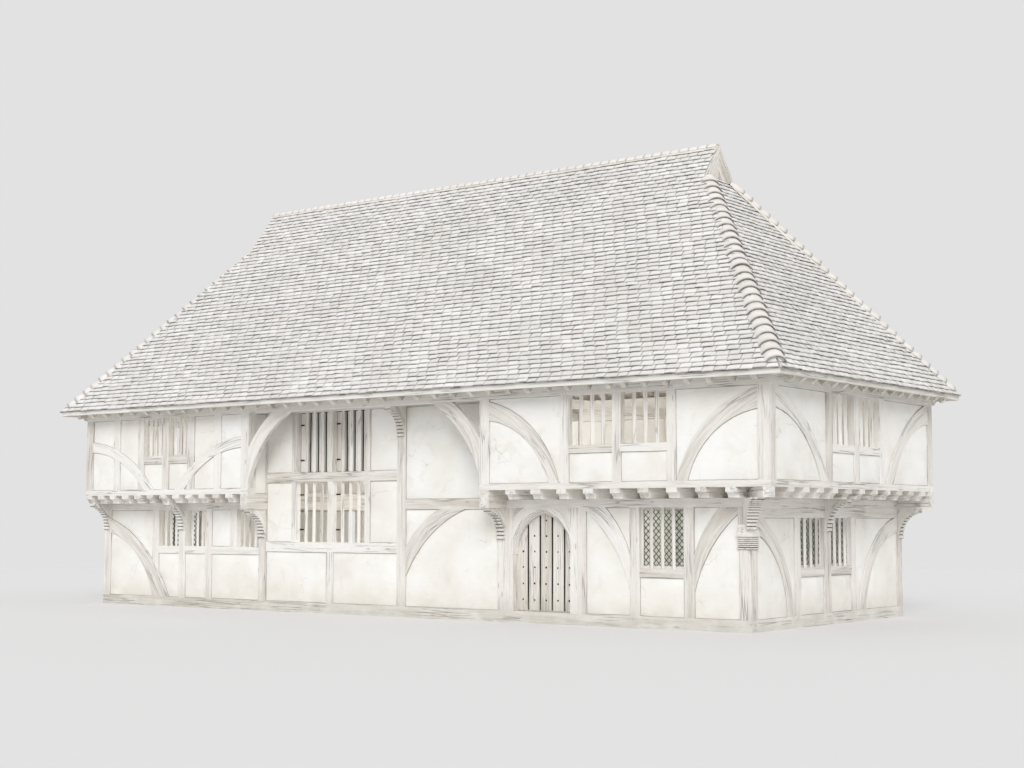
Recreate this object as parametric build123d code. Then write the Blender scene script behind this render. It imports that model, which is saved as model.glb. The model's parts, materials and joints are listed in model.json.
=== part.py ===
from build123d import *
import math
import os

# A timber framed hall house: an open hall between two floored blocks, under one hipped roof.
# X runs along the front from left to right, Y from front to back, Z up from the ground.
# The origin is on the ground under the middle of the roof. All sizes are in millimetres.

# ---- Overall sizes ----
left_block = 5930  # left end wall to the right face of the left truss post
hall_length = 6930  # clear length of the hall between the two truss posts
right_block = 6070  # left face of the right truss post to the right end wall
depth = 7020  # front wall to back wall, at the ground
front_jetty = 620  # how far the upper storey of both blocks stands out in front
side_jetty = 765  # how far the right block's upper storey stands out at its end
sill_top = 235
plate_top = 2560  # top of the lower wall plates, where the joists rest
joist_height = 200
upper_plate_bottom = 4660

# ---- Timber sections ----
post = 250  # side of posts, sills and plates
mid_post = 230
side_mid_post = 310
stud = 230
slim_stud = 150
stud_depth = 150
lower_plate_height = 170
side_girt_height = 380
bressumer_height = 130
tie_height = 200
low_rail = 180
upper_rail = 160
brace_depth = 90
arch_brace_depth = 120

# ---- Infill ----
panel_recess = 30
panel_thickness = 100
glass_depth = 95
glass_thickness = 8

# ---- Window heights ----
left_window_sill = 1500
right_window_sill = 1180
left_upper_sill = 3730
left_upper_rail = 200
upper_window_sill = 3640
hall_window_sill = 1630
hall_sill_rail = 230
hall_transom_bottom = 3020
hall_transom = 230
hall_rail_bottom = 2375
hall_rail = 225

# ---- Widths along the walls ----
left_windows = (750, 720, 760)  # lower windows of the left block
left_last_bay = 1640  # last bay of the left block, with a short stud and the third window
left_upper_panels = (820, 690, 710, 700)  # these share what the windows and studs leave
left_upper_window = 680
right_window = 1020
back_first_panel = 1100  # first panel of the right block's back, which has no door
corner_panel = 1000  # panel between the right block's window and its corner
right_upper_panel = 1830
right_upper_stud = 200
right_upper_window = 1060
side_panel = 1590
side_windows = (1050, 980)
side_upper_panel = 2140
side_upper_window = 1010
hall_panels = (830, 820)  # beside the hall's two pairs of lights
hall_low_panel = 1960
hall_low_stud = 200
hall_mid_bay = 2570  # clear width of the hall's right bay

# ---- Joists and floors ----
joist_width = 235
joist_nose = 110  # radius of the rounded end of a joist
left_joist_count = 12
left_joist_inset = 280  # last joist to the truss beam
right_joist_spacing = 650
right_joist_count = 9
right_joist_inset = 190  # last front joist to the right end wall
side_joist_spacing = 625
side_joist_count = 11
side_joist_start = 110  # first side joist, behind the front wall's face
dragon_beam_width = 240
bridging_beam_height = 300
ground_floor_top = 180
board_thickness = 40

# ---- Brackets ----
bracket_height = 660
bracket_width = 200
bracket_reach = 510
bracket_foot = 70
bracket_lip = 90
bracket_bow = 150  # how deep the hollow underside is, off a straight line
dragon_bracket_height = 620
dragon_bracket_reach = 840
dragon_bracket_lip = 60
dragon_bracket_bow = 103
capital_bottom = 1580
capital_steps = ((1612, 32), (1770, 16), (1820, 45))  # from the bottom up: top, how far it stands out
capital_head = 20  # how far the post's head stands out above its capital

# ---- Doorway ----
jamb = 165
doorway = 1470
arch_rise = 850
over_arch = 120  # from the point of the arch up to the wall plate
arch_lip = 15  # flat at the foot of the arched head, against its jamb
frame_depth = 180
door_gap = 5
door_thickness = 50
door_lap = 40  # how far the leaf laps over its frame
door_sill_gap = 15
strap_length = 900
strap_width = 40
strap_thickness = 6
knuckle_radius = 14
knuckle_bore = 9
knuckle_height = 60
pin_radius = 8
pin_offset = 20  # hinge pin beyond the edge of the leaf
pin_tail = 20  # pin below its knuckle
pin_tip = 5  # pin above its knuckle
pin_arm = 20  # side of the bar that holds a pin
knuckle_seat = 2  # how far a knuckle laps onto the line of the leaf's back
low_strap = 365  # above the sill
high_strap = 80  # above the spring of the arch

# ---- Roof ----
roof_pitch = 51.6
eaves = 460  # overhang beyond the upper walls
eaves_z = 4912  # roof surface under the tiles, at the fascia's outer face
roof_thickness = 93
gablet_setback_left = 3370
gablet_setback_right = 3660
rafter_width = 110
rafter_depth = 140
rafter_spacing = 500
end_rafter_spacing = 450
rafter_seat = 60
first_jack = 150  # first shortened rafter beyond a gablet
last_jack = 600  # last shortened rafter to the corner of the eaves
hip_rafter_depth = 220
gablet_thickness = 100
fascia_thickness = 30
fascia_bottom = 4810
fascia_top = 4930
bargeboard_width = 170
bargeboard_thickness = 40
soffit_thickness = 25

cut_margin = 10  # how far a cutting shape passes what it cuts

# ---- Places worked out from the sizes ----
length = left_block + hall_length + right_block
x_left = -(length + side_jetty) / 2
x_right = x_left + length
x_jetty = x_right + side_jetty
x_hall_left = x_left + left_block
x_hall_right = x_hall_left + hall_length
y_front = -(depth - front_jetty) / 2
y_jetty = y_front - front_jetty
y_back = y_front + depth
lower_plate_bottom = plate_top - lower_plate_height
joist_top = plate_top + joist_height
upper_floor_level = joist_top + bressumer_height
tie_top = upper_plate_bottom + tie_height
arch_apex = lower_plate_bottom - over_arch
arch_spring = arch_apex - arch_rise
x_hall_mid = x_hall_right - hall_mid_bay - post
half_length = (length + side_jetty) / 2 + eaves
half_span = (depth + front_jetty) / 2 + eaves
pitch = math.radians(roof_pitch)
rise = math.tan(pitch)
roof_drop = roof_thickness / math.cos(pitch)
rafter_drop = rafter_depth / math.cos(pitch)
slab_half_length = half_length - fascia_thickness
slab_half_span = half_span - fascia_thickness
slab_edge_z = eaves_z + fascia_thickness * rise
ridge_z = slab_edge_z + slab_half_span * rise
x_gablet_left = -half_length + gablet_setback_left
x_gablet_right = half_length - gablet_setback_right
wall_run = eaves - fascia_thickness
wall_plate_top = slab_edge_z - roof_drop + wall_run * rise - rafter_drop + rafter_seat

nodes = {}


def add(node, *solids):
    """Put solids into a node."""
    nodes.setdefault(node, []).extend(solids)


def block(x0, x1, y0, y1, z0, z1):
    """A box between two corners."""
    size = Box(abs(x1 - x0), abs(y1 - y0), abs(z1 - z0))
    return Pos((x0 + x1) / 2, (y0 + y1) / 2, (z0 + z1) / 2) * size


def outline(points):
    """A closed face through (a, z) points; a third value bows the run to its point by that much."""
    edges = []
    for start, end in zip(points, points[1:] + points[:1]):
        if len(end) == 3 and end[2]:
            edges.append(SagittaArc(start[:2], end[:2], end[2]))
        else:
            edges.append(Line(start[:2], end[:2]))
    return make_face(edges)


def prism_y(points, y0, y1):
    """Extrude an (x, z) outline from y0 to y1."""
    face = Plane((0, y0, 0), x_dir=(1, 0, 0), z_dir=(0, -1, 0)) * outline(points)
    return extrude(face, amount=y1 - y0, dir=(0, 1, 0))


def prism_x(points, x0, x1):
    """Extrude a (y, z) outline from x0 to x1."""
    face = Plane((x0, 0, 0), x_dir=(0, 1, 0), z_dir=(1, 0, 0)) * outline(points)
    return extrude(face, amount=x1 - x0, dir=(1, 0, 0))


def prism_z(points, z0, z1):
    """Extrude an (x, y) outline from z0 to z1."""
    return extrude(Pos(0, 0, z0) * outline(points), amount=z1 - z0, dir=(0, 0, 1))


class Wall:
    """One wall face: a runs along it, d goes inward from its outer face."""

    def __init__(self, along, face, inward):
        self.along = along
        self.face = face
        self.inward = inward

    def block(self, a0, a1, z0, z1, d0, d1):
        n0 = self.face + self.inward * d0
        n1 = self.face + self.inward * d1
        if self.along == "x":
            return block(a0, a1, n0, n1, z0, z1)
        return block(n0, n1, a0, a1, z0, z1)

    def shape(self, points, d0, d1):
        low, high = sorted((self.face + self.inward * d0, self.face + self.inward * d1))
        if self.along == "x":
            return prism_y(points, low, high)
        return prism_x(points, low, high)


class Share(float):
    """A size that shares what the fixed sizes leave, in proportion to its number."""


rest = Share(1)  # all that is left


def spans(low, high, items):
    """Place (size, content) items from low to high."""
    fixed = sum(size for size, content in items if not isinstance(size, Share))
    shares = sum(size for size, content in items if isinstance(size, Share))
    left_over = high - low - fixed
    places = []
    for size, content in items:
        step = left_over * size / shares if isinstance(size, Share) else size
        places.append((low, low + step, content))
        low += step
    return places


def columns(*items):
    """Divide an area from left to right."""
    return ("columns", items)


def rows(*items):
    """Divide an area from bottom to top."""
    return ("rows", items)


def fill(wall, area, content, out):
    """Fill an area of a wall with its timbers, panels and glass, down to the last division."""
    a0, a1, z0, z1 = area
    if isinstance(content, tuple):
        direction, items = content
        low, high = (a0, a1) if direction == "columns" else (z0, z1)
        for start, end, inner in spans(low, high, items):
            part = (start, end, z0, z1) if direction == "columns" else (a0, a1, start, end)
            fill(wall, part, inner, out)
    elif content == "post":
        out["post"].append(wall.block(a0, a1, z0, z1, 0, post))
    elif content in ("stud", "rail"):
        out[content].append(wall.block(a0, a1, z0, z1, 0, stud_depth))
    elif content == "panel":
        d1 = panel_recess + panel_thickness
        out["panel"].append(wall.block(a0, a1, z0, z1, panel_recess, d1))
    elif content == "glass":
        out["glass"].append(wall.block(a0, a1, z0, z1, glass_depth, glass_depth + glass_thickness))


def corner_brace(wall, corner, along, up, far, near, thickness=brace_depth):
    """A curved brace across a corner. far and near are its two edges: reach up, reach along, bow."""
    a, z = corner
    far_up, far_along, far_bow = far
    near_up, near_along, near_bow = near
    turn = along * up
    points = [
        (a, z + up * far_up),
        (a + along * far_along, z, turn * far_bow),
        (a + along * near_along, z),
        (a, z + up * near_up, -turn * near_bow),
    ]
    return wall.shape(points, 0, thickness)


def boxes_meet(one, two):
    """Whether the bounding boxes of two solids overlap."""
    p, q = one.bounding_box(), two.bounding_box()
    gaps = [
        max(p.min.X, q.min.X) - min(p.max.X, q.max.X),
        max(p.min.Y, q.min.Y) - min(p.max.Y, q.max.Y),
        max(p.min.Z, q.min.Z) - min(p.max.Z, q.max.Z),
    ]
    return max(gaps) < -0.01


def trench(pieces, braces):
    """Cut each piece where a brace crosses it."""
    cut = []
    for piece in pieces:
        for brace in braces:
            if boxes_meet(piece, brace):
                piece = piece - brace
        cut.extend(piece.solids())
    return cut


def frame_wall(wall, area, content, braces, storey):
    """Build a wall's frame and infill, trenched for its braces, and put them into their nodes."""
    out = {"post": [], "stud": [], "rail": [], "panel": [], "glass": []}
    fill(wall, area, content, out)
    a0, a1, z0, z1 = area
    clip = wall.block(a0, a1, z0, z1, -cut_margin, brace_depth + cut_margin)
    fitted = [brace & clip for brace in braces]
    add(storey + "_posts", *trench(out["post"], fitted))
    add(storey + "_studs", *trench(out["stud"], fitted))
    add("window_rails", *trench(out["rail"], fitted))
    add(storey + "_panels", *trench(out["panel"], fitted))
    add("window_glass", *out["glass"])
    for brace in fitted:
        add("wall_braces", *brace.solids())


# ---- Wall layouts, from left to right as built: (size, content) ----
def window_over_panel(sill, rail, floor, infill):
    """A panel up to a rail, and a window above it."""
    return rows((sill - rail - floor, "panel"), (rail, "rail"), (rest, infill))


left_window = window_over_panel(left_window_sill, low_rail, sill_top, "open")
right_window_bay = window_over_panel(right_window_sill, low_rail, sill_top, "glass")
left_upper_bay = window_over_panel(left_upper_sill, left_upper_rail, upper_floor_level, "open")
upper_bay = window_over_panel(upper_window_sill, upper_rail, upper_floor_level, "open")

left_lower_layout = columns(
    (rest, "panel"),
    (stud, "stud"),
    (left_windows[0], left_window),
    (mid_post, "post"),
    (left_windows[1], left_window),
    (stud, "stud"),
    (
        left_last_bay,
        rows(
            (left_window_sill - low_rail - sill_top, "panel"),
            (low_rail, "rail"),
            (rest, columns((rest, "panel"), (stud, "stud"), (left_windows[2], "open"))),
        ),
    ),
)

left_upper_layout = columns(
    (Share(left_upper_panels[0]), "panel"),
    (stud, "stud"),
    (Share(left_upper_panels[1]), "panel"),
    (stud, "stud"),
    (left_upper_window, left_upper_bay),
    (stud, "stud"),
    (left_upper_window, left_upper_bay),
    (stud, "stud"),
    (Share(left_upper_panels[2]), "panel"),
    (stud, "stud"),
    (Share(left_upper_panels[3]), "panel"),
)

right_front_layout = columns(
    (jamb + doorway + jamb, "open"),
    (stud, "stud"),
    (rest, "panel"),
    (stud, "stud"),
    (right_window, right_window_bay),
    (stud, "stud"),
    (corner_panel, "panel"),
)

right_back_layout = columns(
    (back_first_panel, "panel"),
    (stud, "stud"),
    (rest, "panel"),
    (stud, "stud"),
    (right_window, right_window_bay),
    (stud, "stud"),
    (corner_panel, "panel"),
)

right_upper_layout = columns(
    (right_upper_panel, "panel"),
    (right_upper_stud, "stud"),
    (right_upper_window, upper_bay),
    (right_upper_stud, "stud"),
    (right_upper_window, upper_bay),
    (right_upper_stud, "stud"),
    (rest, "panel"),
)

side_lower_layout = columns(
    (side_panel, "panel"),
    (stud, "stud"),
    (side_windows[0], right_window_bay),
    (side_mid_post, "post"),
    (side_windows[1], right_window_bay),
    (stud, "stud"),
    (rest, "panel"),
)

side_upper_layout = columns(
    (side_upper_panel, "panel"),
    (stud, "stud"),
    (side_upper_window, upper_bay),
    (stud, "stud"),
    (side_upper_window, upper_bay),
    (stud, "stud"),
    (rest, "panel"),
)

hall_lights = columns(
    (hall_panels[0], "panel"),
    (slim_stud, "stud"),
    (rest, "open"),
    (slim_stud, "stud"),
    (rest, "open"),
    (slim_stud, "stud"),
    (hall_panels[1], "panel"),
)

hall_left_layout = rows(
    (
        hall_window_sill - hall_sill_rail - sill_top,
        columns((hall_low_panel, "panel"), (hall_low_stud, "stud"), (rest, "panel")),
    ),
    (hall_sill_rail, "rail"),
    (hall_transom_bottom - hall_window_sill, hall_lights),
    (hall_transom, "rail"),
    (rest, hall_lights),
)

hall_right_layout = rows(
    (hall_rail_bottom - sill_top, "panel"),
    (hall_rail, "rail"),
    (rest, "panel"),
)


# ---- Sills and floors ----
def make_sills():
    """Sills all round, the long ones through to the corners."""
    for y0 in (y_front, y_back - post):
        add("long_sills", block(x_left, x_right, y0, y0 + post, 0, sill_top))
    for x0 in (x_left, x_right - post):
        add("end_sills", block(x0, x0 + post, y_front + post, y_back - post, 0, sill_top))


def make_floors():
    """The ground floor inside the sills, and the boards of both upper floors inside their bressumers."""
    add(
        "ground_floor",
        block(x_left + post, x_right - post, y_front + post, y_back - post, 0, ground_floor_top),
    )
    z0, z1 = joist_top, joist_top + board_thickness
    y0, y1 = y_jetty + post, y_back - post
    add("upper_floors", block(x_left + post, x_hall_left - post, y0, y1, z0, z1))
    add("upper_floors", block(x_hall_right + post, x_jetty - post, y0, y1, z0, z1))


# ---- Plates, beams and joists ----
def make_lower_plates():
    """Plates that carry the joists, the long ones through to the corners.

    The right block's back plate runs on under the jetty at its end.
    """
    for y0, x_end in ((y_front, x_right), (y_back - post, x_jetty)):
        for x0, x1 in ((x_left, x_hall_left - post), (x_hall_right + post, x_end)):
            add("long_lower_plates", block(x0, x1, y0, y0 + post, lower_plate_bottom, plate_top))
    y0, y1 = y_front + post, y_back - post
    add("end_lower_plates", block(x_left, x_left + post, y0, y1, lower_plate_bottom, plate_top))
    girt_bottom = plate_top - side_girt_height
    add("end_lower_plates", block(x_right - post, x_right, y0, y1, girt_bottom, plate_top))


def make_truss_beams():
    """The two beams beside the hall, which run from the front jetty to the back wall."""
    for x0 in (x_hall_left - post, x_hall_right):
        add("truss_beams", block(x0, x0 + post, y_jetty, y_back, lower_plate_bottom, joist_top))


def nosed_joist_y(x0, y_tip, y_end):
    """A joist along Y with its lower front edge rounded off."""
    points = [
        (y_end, plate_top),
        (y_tip + joist_nose, plate_top),
        (y_tip, plate_top + joist_nose, -joist_nose * (1 - math.sqrt(0.5))),
        (y_tip, joist_top),
        (y_end, joist_top),
    ]
    return prism_x(points, x0, x0 + joist_width)


def nosed_joist_x(y0, x_tip, x_end):
    """A joist along X with its lower outer edge rounded off."""
    points = [
        (x_end, plate_top),
        (x_tip - joist_nose, plate_top),
        (x_tip, plate_top + joist_nose, joist_nose * (1 - math.sqrt(0.5))),
        (x_tip, joist_top),
        (x_end, joist_top),
    ]
    return prism_y(points, y0, y0 + joist_width)


# The dragon beam runs from the bridging beam out over the corner post to the corner of the jetty.
# The bridging beam lies over the side's mid post, and y_bridge is its front face.
y_bridge = y_front + post + side_panel + stud + side_windows[0]
corner_x, corner_y = x_right - post / 2, y_front + post / 2
outer_x, outer_y = x_jetty - post / 2, y_jetty + post / 2
dragon_angle = math.atan2(outer_y - corner_y, outer_x - corner_x)
dragon_reach = length  # past both ends of the beam, before it is cut to its place


def dragon_strip(side_from, side_to, z0, z1):
    """A strip along the dragon beam's line, between two distances to its left."""
    strip = block(-dragon_reach, dragon_reach, side_from, side_to, z0, z1)
    return Pos(corner_x, corner_y, 0) * Rot(0, 0, math.degrees(dragon_angle)) * strip


def make_dragon_beam():
    """The diagonal beam under the corner of the jetty, cut flush at the jetty and the bridging beam."""
    half = dragon_beam_width / 2
    beam = dragon_strip(-half, half, plate_top, joist_top)
    beam = beam & block(x_left, x_jetty, y_jetty, y_bridge, 0, joist_top)
    add("dragon_beam", *beam.solids())


def make_joists():
    """Joists of both blocks, their ends standing out under the jetties."""
    spacing = (left_block - post - left_joist_inset - joist_width) / (left_joist_count - 1)
    for i in range(left_joist_count):
        x0 = x_left + i * spacing
        add("jetty_joists", nosed_joist_y(x0, y_jetty, y_back - post))
    behind_dragon = dragon_strip(-dragon_beam_width / 2, dragon_reach, 0, 2 * joist_top)
    before_dragon = dragon_strip(-dragon_reach, dragon_beam_width / 2, 0, 2 * joist_top)
    for i in range(right_joist_count):
        x0 = x_right - right_joist_inset - i * right_joist_spacing
        joist = nosed_joist_y(x0, y_jetty, y_bridge) - behind_dragon
        add("jetty_joists", *joist.solids())
    for i in range(side_joist_count):
        y0 = y_front + side_joist_start + i * side_joist_spacing
        over_bridge = y_bridge - joist_width < y0 < y_bridge + side_mid_post
        inner_end = x_right - post if over_bridge else x_hall_right + post
        joist = nosed_joist_x(y0, x_jetty, inner_end)
        if y0 < y_bridge:
            joist = joist - before_dragon
        add("jetty_joists", *joist.solids())
    x0, x1 = x_hall_right + post, x_right - post
    beam_bottom = joist_top - bridging_beam_height
    add("floor_beams", block(x0, x1, y_bridge, y_bridge + side_mid_post, beam_bottom, joist_top))


def make_girts():
    """Beams in the joists' layer along the back wall."""
    y0 = y_back - post
    add("floor_beams", block(x_left, x_hall_left - post, y0, y_back, plate_top, joist_top))
    add("floor_beams", block(x_hall_right + post, x_jetty, y0, y_back, plate_top, joist_top))


def make_bressumers():
    """Upper sills on the joists, the long ones through to the corners."""
    z0, z1 = joist_top, upper_floor_level
    for y0 in (y_jetty, y_back - post):
        add("long_bressumers", block(x_left, x_hall_left, y0, y0 + post, z0, z1))
        add("long_bressumers", block(x_hall_right, x_jetty, y0, y0 + post, z0, z1))
    y0, y1 = y_jetty + post, y_back - post
    for x0 in (x_left, x_jetty - post):
        add("end_bressumers", block(x0, x0 + post, y0, y1, z0, z1))


# ---- Posts ----
def make_posts():
    """Corner and truss posts of both storeys, and the hall's posts."""
    z0, z1 = sill_top, lower_plate_bottom
    for x0 in (x_left, x_hall_left - post, x_hall_right):
        for y0 in (y_front, y_back - post):
            add("lower_posts", block(x0, x0 + post, y0, y0 + post, z0, z1))
    add("lower_posts", block(x_right - post, x_right, y_back - post, y_back, z0, z1))
    z0, z1 = upper_floor_level, upper_plate_bottom
    for x0 in (x_left, x_hall_left - post, x_hall_right, x_jetty - post):
        for y0 in (y_jetty, y_back - post):
            add("upper_posts", block(x0, x0 + post, y0, y0 + post, z0, z1))
    for x0 in (x_hall_left - post, x_hall_right):
        add("hall_posts", block(x0, x0 + post, y_front, y_front + post, joist_top, upper_plate_bottom))
    for y0 in (y_front, y_back - post):
        add("hall_posts", block(x_hall_mid, x_hall_mid + post, y0, y0 + post, sill_top, upper_plate_bottom))


def make_dragon_post():
    """The corner post under the dragon beam, with a moulded capital and a thicker head."""
    x0, y1 = x_right - post, y_front + post
    whole = block(x0, x_right, y_front, y1, sill_top, lower_plate_bottom)
    inside = block(x_left, x0, y_front, y_back, 0, joist_top) + block(x0, x_right, y1, y_back, 0, joist_top)
    z0 = capital_bottom
    for z1, out in capital_steps + ((lower_plate_bottom, capital_head),):
        whole = whole + (block(x0 - out, x_right + out, y_front - out, y1 + out, z0, z1) - inside)
        z0 = z1
    add("dragon_post", *whole.solids())


# ---- Upper plates ----
def make_upper_plates():
    """Plates on top of the upper walls, the front one flying across the hall, and ties between them."""
    z0, z1 = upper_plate_bottom, tie_top
    for y0 in (y_jetty, y_back - post):
        add("long_wall_plates", block(x_left, x_jetty, y0, y0 + post, z0, wall_plate_top))
    y0, y1 = y_jetty + post, y_back - post
    for x0 in (x_left, x_jetty - post):
        add("end_wall_plates", block(x0, x0 + post, y0, y1, z0, wall_plate_top))
    for x0 in (x_hall_left - post, x_hall_mid, x_hall_right):
        add("tie_beams", block(x0, x0 + post, y0, y1, z0, z1))
    for x0, x1 in ((x_hall_left, x_hall_mid), (x_hall_mid + post, x_hall_right)):
        add("hall_plates", block(x0, x1, y_front, y_front + post, z0, z1))
        add("hall_soffit", block(x0, x1, y0, y_front + post, z1, z1 + soffit_thickness))


# ---- Walls ----
front = Wall("x", y_front, 1)
front_upper = Wall("x", y_jetty, 1)
back = Wall("x", y_back, -1)
left = Wall("y", x_left, 1)
right = Wall("y", x_right, -1)
right_upper = Wall("y", x_jetty, -1)

# Brace edges: reach up the post, reach along the sill or plate, bow.
left_lower_brace = ((1930, 2240, 310), (1590, 1650, 330))
left_upper_brace = ((1225, 2320, 270), (975, 1980, 240))
right_upper_brace = ((1710, 1770, 360), (1330, 1530, 310))
short_brace = ((1650, 1150, -180), (950, 590, -65))
hall_brace = ((1475, 1690, -220), (835, 990, -90))
side_near_brace = ((2070, 1500, 380), (1650, 1250, 330))
side_far_brace = ((1960, 1980, 480), (1620, 1680, 420))
side_upper_brace = ((1800, 2200, 310), (1360, 1870, 310))
arch_brace = ((1600, 1330, -200), (820, 760, -50))


def make_left_block_walls():
    """Front and back of the left block."""
    a0, a1 = x_left + post, x_hall_left - post
    for wall in (front, back):
        brace = corner_brace(wall, (a0, sill_top), 1, 1, *left_lower_brace)
        area = (a0, a1, sill_top, lower_plate_bottom)
        frame_wall(wall, area, left_lower_layout, [brace], "lower")
    for wall in (front_upper, back):
        braces = [
            corner_brace(wall, (a0, upper_floor_level), 1, 1, *left_upper_brace),
            corner_brace(wall, (a1, upper_floor_level), -1, 1, *left_upper_brace),
        ]
        area = (a0, a1, upper_floor_level, upper_plate_bottom)
        frame_wall(wall, area, left_upper_layout, braces, "upper")


def make_right_block_walls():
    """Front and back of the right block."""
    a0, a1 = x_hall_right + post, x_right - post
    area = (a0, a1, sill_top, lower_plate_bottom)
    corner = a1 - corner_panel
    far_stud = corner - stud - right_window - stud
    for wall, layout in ((front, right_front_layout), (back, right_back_layout)):
        braces = [
            corner_brace(wall, (corner, lower_plate_bottom), 1, -1, *short_brace),
            corner_brace(wall, (far_stud, lower_plate_bottom), -1, -1, *short_brace),
        ]
        frame_wall(wall, area, layout, braces, "lower")
    a1 = x_jetty - post
    for wall in (front_upper, back):
        braces = [
            corner_brace(wall, (a0, upper_floor_level), 1, 1, *right_upper_brace),
            corner_brace(wall, (a1, upper_floor_level), -1, 1, *right_upper_brace),
        ]
        area = (a0, a1, upper_floor_level, upper_plate_bottom)
        frame_wall(wall, area, right_upper_layout, braces, "upper")


def make_hall_walls():
    """Front and back of the hall, and the short returns beside its recess."""
    for wall in (front, back):
        area = (x_hall_left, x_hall_mid, sill_top, upper_plate_bottom)
        frame_wall(wall, area, hall_left_layout, [], "hall")
        a0 = x_hall_mid + post
        brace = corner_brace(wall, (a0, hall_rail_bottom), 1, -1, *hall_brace)
        area = (a0, x_hall_right, sill_top, upper_plate_bottom)
        frame_wall(wall, area, hall_right_layout, [brace], "hall")
    for face, inward in ((x_hall_left, -1), (x_hall_right, 1)):
        wall = Wall("y", face, inward)
        d0, d1 = panel_recess, panel_recess + panel_thickness
        panel = wall.block(y_jetty + post, y_front, joist_top, upper_plate_bottom, d0, d1)
        add("upper_panels", panel)


def make_end_walls():
    """Left and right ends, both storeys."""
    a0, a1 = y_front + post, y_back - post
    for wall, top in ((left, lower_plate_bottom), (right, plate_top - side_girt_height)):
        braces = [
            corner_brace(wall, (a0, sill_top), 1, 1, *side_near_brace),
            corner_brace(wall, (a1, sill_top), -1, 1, *side_far_brace),
        ]
        frame_wall(wall, (a0, a1, sill_top, top), side_lower_layout, braces, "lower")
    a0 = y_jetty + post
    for wall in (left, right_upper):
        braces = [
            corner_brace(wall, (a0, upper_floor_level), 1, 1, *side_upper_brace),
            corner_brace(wall, (a1, upper_floor_level), -1, 1, *side_upper_brace),
        ]
        area = (a0, a1, upper_floor_level, upper_plate_bottom)
        frame_wall(wall, area, side_upper_layout, braces, "upper")


# ---- Brackets and arch braces ----
def bracket(face, out, top, height, reach, lip, bow):
    """Outline of a bracket that stands out from a face, hollowed underneath: (place, height)."""
    return [
        (face, top - height),
        (face + out * bracket_foot, top - height),
        (face + out * reach, top - lip, out * bow),
        (face + out * reach, top),
        (face, top),
    ]


def front_bracket(x_mid, top, height=bracket_height):
    """A bracket that stands out from the front wall."""
    points = bracket(y_front, -1, top, height, bracket_reach, bracket_lip, bracket_bow)
    return prism_x(points, x_mid - bracket_width / 2, x_mid + bracket_width / 2)


def side_bracket(y_mid, top, height=bracket_height):
    """A bracket that stands out from the right end wall."""
    points = bracket(x_right, 1, top, height, bracket_reach, bracket_lip, bracket_bow)
    return prism_y(points, y_mid - bracket_width / 2, y_mid + bracket_width / 2)


def make_brackets():
    """Brackets under the jetties, and the one from the hall's mid post to its flying plate."""
    left_mid = x_hall_left - post - left_last_bay - stud - left_windows[1] - mid_post / 2
    side_mid = y_bridge + side_mid_post / 2
    add("jetty_brackets", front_bracket(x_left + post / 2, plate_top))
    add("jetty_brackets", front_bracket(left_mid, plate_top))
    for x0 in (x_hall_left - post / 2, x_hall_right + post / 2):
        add("jetty_brackets", front_bracket(x0, lower_plate_bottom))
    add("jetty_brackets", side_bracket(side_mid, plate_top))
    add("jetty_brackets", side_bracket(y_back - post / 2, lower_plate_bottom))
    add("jetty_brackets", front_bracket(x_hall_mid + post / 2, upper_plate_bottom))
    for a0, along in ((x_hall_left, 1), (x_hall_right, -1)):
        corner = (a0, upper_plate_bottom)
        brace = corner_brace(front_upper, corner, along, -1, *arch_brace, arch_brace_depth)
        add("arch_braces", *brace.solids())


def make_dragon_bracket():
    """The diagonal bracket from the corner post to the corner of the jetty, under the dragon beam."""
    sizes = (dragon_bracket_height, dragon_bracket_reach, dragon_bracket_lip, dragon_bracket_bow)
    points = bracket(0, 1, plate_top, *sizes)
    points = [(-post, plate_top - dragon_bracket_height)] + points[1:4] + [(-post, plate_top)]
    shape = prism_y(points, -bracket_width / 2, bracket_width / 2)
    shape = Pos(x_right, y_front, 0) * Rot(0, 0, math.degrees(dragon_angle)) * shape
    for node in ("dragon_post", "long_lower_plates", "end_lower_plates"):
        for solid in nodes[node]:
            shape = shape - solid
    shape = shape - block(x_left, x_right, y_front, y_back, 0, plate_top)
    add("dragon_bracket", *shape.solids())


# ---- Doorway and door ----
x_door_left = x_hall_right + post + jamb
x_door_right = x_door_left + doorway
x_door_mid = (x_door_left + x_door_right) / 2


def pointed_arch(half_width, spring, apex, bottom):
    """Outline of a doorway with a two-centred pointed head."""
    height = apex - spring
    chord = math.hypot(half_width, height)
    radius = chord ** 2 / (2 * half_width)
    bow = radius - math.sqrt(radius ** 2 - chord ** 2 / 4)
    return [
        (x_door_mid - half_width, bottom),
        (x_door_mid - half_width, spring),
        (x_door_mid, apex, bow),
        (x_door_mid + half_width, spring, bow),
        (x_door_mid + half_width, bottom),
    ]


def make_door_frame():
    """Jambs, and an arched head between them."""
    for x0 in (x_door_left - jamb, x_door_right):
        add("door_jambs", front.block(x0, x0 + jamb, sill_top, lower_plate_bottom, 0, frame_depth))
    head = front.block(x_door_left, x_door_right, arch_spring, lower_plate_bottom, 0, frame_depth)
    hole = pointed_arch(doorway / 2 - arch_lip, arch_spring, arch_apex, sill_top)
    head = head - front.shape(hole, -cut_margin, frame_depth + cut_margin)
    add("door_head", *head.solids())


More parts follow.
